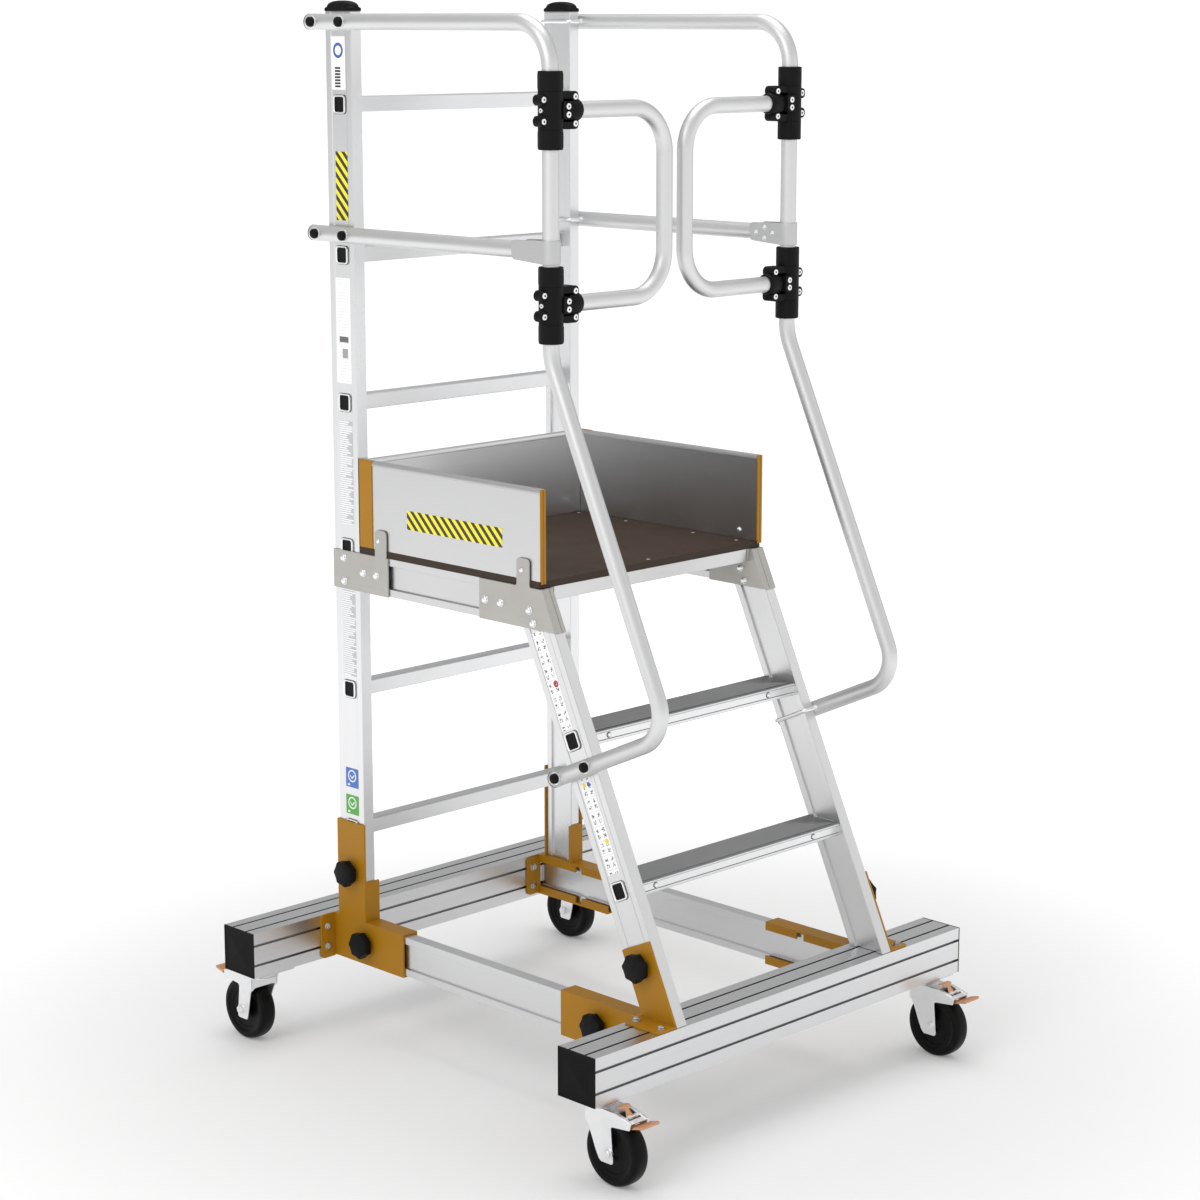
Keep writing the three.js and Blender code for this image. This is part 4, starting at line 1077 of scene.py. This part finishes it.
def castor_wheel():
    """Wheel from its bore over the dished web to the tread; the profile is one half, out from the middle plane."""
    profile = [(6.3, 16.4), (12.5, 16.4), (14, 15.6), (15.5, 12.4), (18, 11.6), (36, 11.4)]
    profile += [(38, 11.8), (39.4, 13.6), (44, 14), (46, 14.6), (48, 16.6), (50, 17)]
    profile += [(56, 17), (58.4, 16.2), (60.6, 13.6), (61.9, 9.6), (62.4, 5)]
    both = profile + [(WHEEL_R, 0)] + [(r, -h) for r, h in reversed(profile)]
    return Shape().turn(both, (0, -TRAIL, WHEEL_R), IN, 72, closed=True)


def castor_lever():
    """Brake lever: two arms joined by a bridge, a ribbed blade at the back and a pad above the fork."""
    shape = Shape()
    arm = [(-68, 126), (-72, 130), (-98, 123.7), (-103, 125.6), (-103, 122.6), (-97, 120)]
    shape.prism(arm, "x", -17.5, -15)
    shape.prism(arm, "x", 15, 17.5)
    bridge = [(-92, 125), (-98, 123.7), (-104, 126), (-104, 123.4), (-97.6, 121), (-92, 122.4)]
    shape.prism(bridge, "x", -17.5, 17.5)
    blade = [(-101, 126.8), (-112, 130.4), (-118, 132.6), (-122, 133.6), (-124.4, 132.8)]
    blade += [(-125, 130.6), (-124.2, 128.4), (-121.6, 127.6), (-112, 125.6), (-101, 122.6)]
    shape.prism(blade, "x", -21, 21)
    for x in (-16, -8, 0, 8, 16):
        shape.prism([(-106, 127.8), (-107, 129.8), (-116, 132.7), (-117, 131.8)], "x", x - 1.5, x + 1.5)
    pad = [(-50, 148), (-56, 150), (-62, 150.3), (-64.5, 147.4)]
    pad += [(-62.4, 146.4), (-60.5, 147.6), (-56, 147.4), (-50.5, 145.4)]
    shape.prism(pad, "x", -12.4, 12.4)
    neck = []
    for y, z, half in ((-62.5, 149.2, 8), (-65, 146, 5), (-69, 141, 5), (-73, 135.6, 8), (-75.6, 131.6, 11)):
        low, high = (y - 1.3, z - 0.9), (y + 1.3, z + 0.9)
        neck.append([(-half, *low), (half, *low), (half, *high), (-half, *high)])
    shape.loft(neck)
    shape.turn([(3.6, -18), (3.6, 18)], (0, -70, 129), IN, 20)
    return shape


def castors():
    for corner, (sx, sy) in CORNERS.items():
        parts = [
            ("fork_sheet", castor_fork(), ZINC, "castor_fork", 0.9, True),
            ("fork_bearing", castor_bearing(), ZINC, "castor_fork", 0, False),
            ("tyre", castor_wheel(), RUBBER, "castor_wheel", 0, True),
            ("foot_lever", castor_lever(), COPPER, "castor_pedal", 0.5, True),
        ]
        for name, shape, material, body, bevel, stands in parts:
            if sy > 0:
                shape.mirror(1)
            shape.shift(sx * CASTOR_X, sy * BEAM_Y, 0)
            add(name, shape, material, corner, body, bevel=bevel, replaces=body if stands else None)


# ---- labels
def label_material(name, ground, marks):
    """Printed film. marks draws on the label's own plane, x across and y up, in metres."""
    graph = Graph(name)
    colour = marks(graph, graph.axis("X"), graph.axis("Y"), ground)
    mottle = graph.noise(300.0)
    graph.set("Base Color", graph.mix(graph.spread(mottle, 0.0, 0.06), colour, (0.5, 0.5, 0.5, 1)))
    graph.set("Roughness", graph.spread(mottle, 0.3, 0.42))
    return graph.material


def within(graph, value, low, high):
    above = graph.math("GREATER_THAN", value, low)
    below = graph.math("LESS_THAN", value, high)
    return graph.math("MULTIPLY", above, below)


def patch(graph, x, y, left, right, low, high):
    return graph.math("MULTIPLY", within(graph, x, left, right), within(graph, y, low, high))


def bands(graph, value, pitch, share):
    """Even stripes; share is how much of each pitch they cover."""
    return graph.math("LESS_THAN", graph.math("FRACT", graph.math("DIVIDE", value, pitch)), share)


def speck_field(graph, x, y, ground):
    """Two columns of small abstract marks in faint cells, with no lettering."""
    cell = 0.0135
    u = graph.math("ABSOLUTE", graph.math("SUBTRACT", graph.math("ABSOLUTE", x), 0.0078))
    row = graph.math("PINGPONG", y, cell)
    blob = graph.noise(330.0, 1.0, 0.4)
    inside = graph.math("MULTIPLY", graph.math("LESS_THAN", u, 0.0036), within(graph, row, 0.0045, 0.0115))
    ink = graph.math("MULTIPLY", inside, graph.math("GREATER_THAN", blob, 0.52))
    rule = graph.math("LESS_THAN", row, 0.0005)
    base = graph.mix(graph.math("MULTIPLY", rule, 0.3), ground, (0.3, 0.3, 0.32, 1))
    return graph.mix(ink, base, (0.02, 0.02, 0.025, 1))


def specks(graph, x, y, ground):
    """The field of marks with one red ring."""
    base = speck_field(graph, x, y, ground)
    hole = disc(graph, x, y, 0.0078, -0.008, 0.0022)
    red = graph.math("SUBTRACT", disc(graph, x, y, 0.0078, -0.008, 0.0064), hole)
    return graph.mix(red, base, (0.45, 0.01, 0.02, 1))


def marks(graph, x, y, ground):
    """Specks like those of the other label, with small blue and yellow marks and no red ring."""
    base = speck_field(graph, x, y, ground)
    blue = disc(graph, x, y, 0.006, 0.0765, 0.0042)
    lower = disc(graph, x, y, 0.0078, -0.03, 0.005)
    yellow = graph.math("MAXIMUM", disc(graph, x, y, -0.006, 0.0765, 0.0042), lower)
    base = graph.mix(blue, base, (0.03, 0.12, 0.5, 1))
    return graph.mix(yellow, base, (0.9, 0.7, 0.01, 1))


def disc(graph, x, y, u, v, radius):
    across = graph.math("POWER", graph.math("SUBTRACT", x, u), 2.0)
    up = graph.math("POWER", graph.math("SUBTRACT", y, v), 2.0)
    return graph.math("LESS_THAN", graph.math("ADD", across, up), radius * radius)


def dashes(graph, x, y, ground):
    """Rows of white dashes of uneven length on a bare metal tone."""
    row = graph.math("SNAP", y, 0.0042)
    reach = graph.noise(900.0, 0.0, place=graph.node("ShaderNodeCombineXYZ", {1: row}).outputs[0])
    length = graph.spread(reach, -0.002, 0.026)
    ink = graph.math("MULTIPLY", graph.math("LESS_THAN", x, length), bands(graph, y, 0.0042, 0.62))
    return graph.mix(graph.math("MULTIPLY", ink, 0.95), ground, (0.95, 0.95, 0.96, 1))


def bars(graph, x, y, ground):
    """A ring-shaped mark above and a block of plain bars below."""
    shifted = graph.math("SUBTRACT", y, 0.023)
    radius = graph.math("SQRT", graph.math("ADD", graph.math("POWER", x, 2.0), graph.math("POWER", shifted, 2.0)))
    ring = within(graph, radius, 0.0088, 0.0142)
    ink = graph.math("MULTIPLY", bands(graph, y, 0.0056, 0.66), patch(graph, x, y, -0.01, 0.006, -0.045, -0.006))
    base = graph.mix(ring, ground, (0.03, 0.1, 0.4, 1))
    return graph.mix(ink, base, (0.01, 0.01, 0.012, 1))


def columns(graph, x, y, ground):
    """Faint grey lines with a small dark block, like a blank form."""
    lines = bands(graph, y, 0.006, 0.16)
    field = graph.math("LESS_THAN", graph.math("ABSOLUTE", x), 0.016)
    faint = graph.math("MULTIPLY", graph.math("MULTIPLY", lines, field), 0.4)
    block = patch(graph, x, y, -0.012, 0.014, -0.022, -0.011)
    small = patch(graph, x, y, -0.004, 0.012, -0.052, -0.034)
    base = graph.mix(faint, ground, (0.35, 0.35, 0.37, 1))
    base = graph.mix(graph.math("MULTIPLY", block, 0.9), base, (0.03, 0.03, 0.035, 1))
    return graph.mix(graph.math("MULTIPLY", small, 0.7), base, (0.1, 0.1, 0.12, 1))


def stripes(graph, x, y, ground):
    """Plain slanted black bars."""
    slant = graph.math("ADD", graph.math("DIVIDE", graph.math("ADD", x, y), 0.021), 100.0)
    bar = graph.math("LESS_THAN", graph.math("FRACT", slant), 0.5)
    return graph.mix(bar, ground, (0.012, 0.012, 0.012, 1))


def ring_mark(graph, x, y, ground):
    """A plain white ring with a tick in it on a coloured square."""
    outer = disc(graph, x, y, 0, 0.0035, 0.0122)
    ring = graph.math("SUBTRACT", outer, disc(graph, x, y, 0, 0.0035, 0.0095))
    total = graph.math("ADD", x, y)
    slope = graph.math("SUBTRACT", x, y)
    short = patch(graph, total, slope, -0.003, 0.0, -0.011, -0.001)
    long = patch(graph, slope, total, -0.001, 0.0025, -0.003, 0.0125)
    foot = patch(graph, x, y, -0.013, -0.007, -0.0165, -0.0125)
    marks = graph.math("MAXIMUM", graph.math("MAXIMUM", ring, foot), graph.math("MAXIMUM", short, long))
    return graph.mix(marks, ground, (0.9, 0.9, 0.9, 1))


WHITE = (0.96, 0.96, 0.96, 1)
YELLOW = (0.95, 0.83, 0.004, 1)
KINDS = {
    "specks": (WHITE, specks),
    "marks": (WHITE, marks),
    "dashes": ((0.52, 0.525, 0.535, 1), dashes),
    "bars": (WHITE, bars),
    "columns": (WHITE, columns),
    "stripes": (YELLOW, stripes),
    "blue": ((0.05, 0.16, 0.55, 1), ring_mark),
    "green": ((0.07, 0.4, 0.04, 1), ring_mark),
}
FILMS = {kind: label_material(f"label_{kind}", *look) for kind, look in KINDS.items()}


def film(name, kind, centre, width, height, lean):
    """A label 0.25 mm thick on a face that looks toward -X, turned by lean in its own plane."""
    outline = rounded(0, 0, width, height, 1.2, 3)
    made = Shape().prism(outline, "z", 0, 0.25).finished(name, FILMS[kind])
    across = Vector((0, -cos(lean), sin(lean)))  # left to right as seen from outside
    up = Vector((0, sin(lean), cos(lean)))
    turn = Matrix((across, up, Vector(OUT))).transposed().to_4x4()
    made.matrix_world = Matrix.Translation(Vector(centre) * MM) @ turn
    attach(made, "frame")


FIELD_X = -OUTER_X + 1.2 - 0.05  # the sunk field of a stile's outer face, with the film lying in it
FIELD_LABELS = (
    ("stile_top", "bars", 370.5, 1905, 40, 98, 0),
    ("stile_band", "stripes", 366, 1678, 34, 128, 0),
    ("stile_form", "columns", 368.5, 1406, 42, 200, 0),
    ("stile_dashes_upper", "dashes", 367, 1134, 38, 200, 0),
    ("stile_dashes_lower", "dashes", 366.5, 820, 38, 168, 0),
    ("stile_blue", "blue", 367, 530.5, 37, 39, 0),
    ("stile_green", "green", 367.5, 476, 37, 39, 0),
    ("front_upper", "specks", -197, 820, 31, 186, LEAN_ANGLE),
    ("front_lower", "marks", -317, 574, 31, 178, LEAN_ANGLE),
)


def labels():
    for name, kind, y, z, width, height, lean in FIELD_LABELS:
        film(f"label_{name}", kind, (FIELD_X, y, z), width, height, lean)
    film("label_toe_band", "stripes", (-OUTER_X + 0.85, 62, 1064), 262, 36, 0)


# ---- build everything
SIDE_PIECES = (
    hand_rail, tie_rods, knee_rail, hinge_sleeves, gate,
    stile_cap, stile_plugs, rung_ends, corner_plates, bracket_bolts,
)
for side in SIDES:
    for make in SIDE_PIECES:
        make(side)
    for spot in KNOBS:
        star_knob(spot, side)
for name, (top, back) in TREAD_SPOTS.items():
    tread(name, top, back)
toe_boards()
board_screws()
cap_rims()
castors()
labels()

# ---- floor, light
bpy.context.scene.view_settings.view_transform = "Standard"

floor_mesh = bpy.data.meshes.new("floor")
reach = 40.0
corners = [(-reach, -reach, 0), (reach, -reach, 0), (reach, reach, 0), (-reach, reach, 0)]
floor_mesh.from_pydata(corners, [], [(0, 1, 2, 3)])
floor = bpy.data.objects.new("floor", floor_mesh)
bpy.context.scene.collection.objects.link(floor)
ground = Graph("floor")
across, deep = (ground.math("POWER", ground.axis(axis), 2.0) for axis in "XY")
far = ground.math("SQRT", ground.math("ADD", across, deep))
# painted light: the floor glows, weakly near the ladder and more strongly further out, so that it fades into the
# white backdrop
glow = ground.node("ShaderNodeMapRange", {0: far, 1: 0.7, 2: 2.6, 3: 0.15, 4: 0.6}, interpolation_type="SMOOTHSTEP")
ground.set("Base Color", (0.8, 0.8, 0.8, 1))
ground.set("Roughness", 1.0)
ground.set("Specular IOR Level", 0.0)
ground.set("Emission Color", (1, 1, 1, 1))
ground.set("Emission Strength", glow.outputs[0])
floor_mesh.materials.append(ground.material)

# the studio: brightest in front and on the left, dimmer overhead, dimmest behind, with a white backdrop
world = bpy.data.worlds.new("studio")
bpy.context.scene.world = world
world.use_nodes = True
sky = Graph.__new__(Graph)
sky.tree = world.node_tree
background = sky.tree.nodes["Background"]
direction = sky.node("ShaderNodeTexCoord").outputs["Generated"]
parts = sky.node("ShaderNodeSeparateXYZ", {0: direction}).outputs
left = sky.scaled(parts[0], -1.0, 1.0, 0.68, 0.29)
front = sky.scaled(parts[1], -1.0, 1.0, 1.16, 0.26)
side_light = sky.math("ADD", sky.math("MULTIPLY", left, 0.55), sky.math("MULTIPLY", front, 0.5))
overhead = sky.scaled(parts[2], 0.15, 0.9, 0.0, 1.0)
level = sky.blend(overhead, side_light, 0.68)
seen = sky.node("ShaderNodeLightPath").outputs["Is Camera Ray"]
sky.tree.links.new(sky.blend(seen, level, 1.1), background.inputs[1])
background.inputs[0].default_value = (1, 1, 1, 1)


def soft_light(name, place, aim, size, power):
    data = bpy.data.lights.new(name, "AREA")
    data.shape = "DISK"
    data.size = size
    data.energy = power
    lamp = bpy.data.objects.new(name, data)
    lamp.location = place
    lamp.rotation_euler = (Vector(aim) - Vector(place)).to_track_quat("-Z", "Y").to_euler()
    bpy.context.scene.collection.objects.link(lamp)


# a key lamp on the left, one overhead and a weak fill in front on the right
soft_light("key", (-4.5, -0.5, 4.0), (0, 0, 0.9), 3.0, 60)
soft_light("top", (0.3, 0.3, 5.0), (0, 0, 0), 3.0, 50)
soft_light("fill", (4.0, -3.6, 2.9), (0, -0.3, 0.7), 3.4, 11)
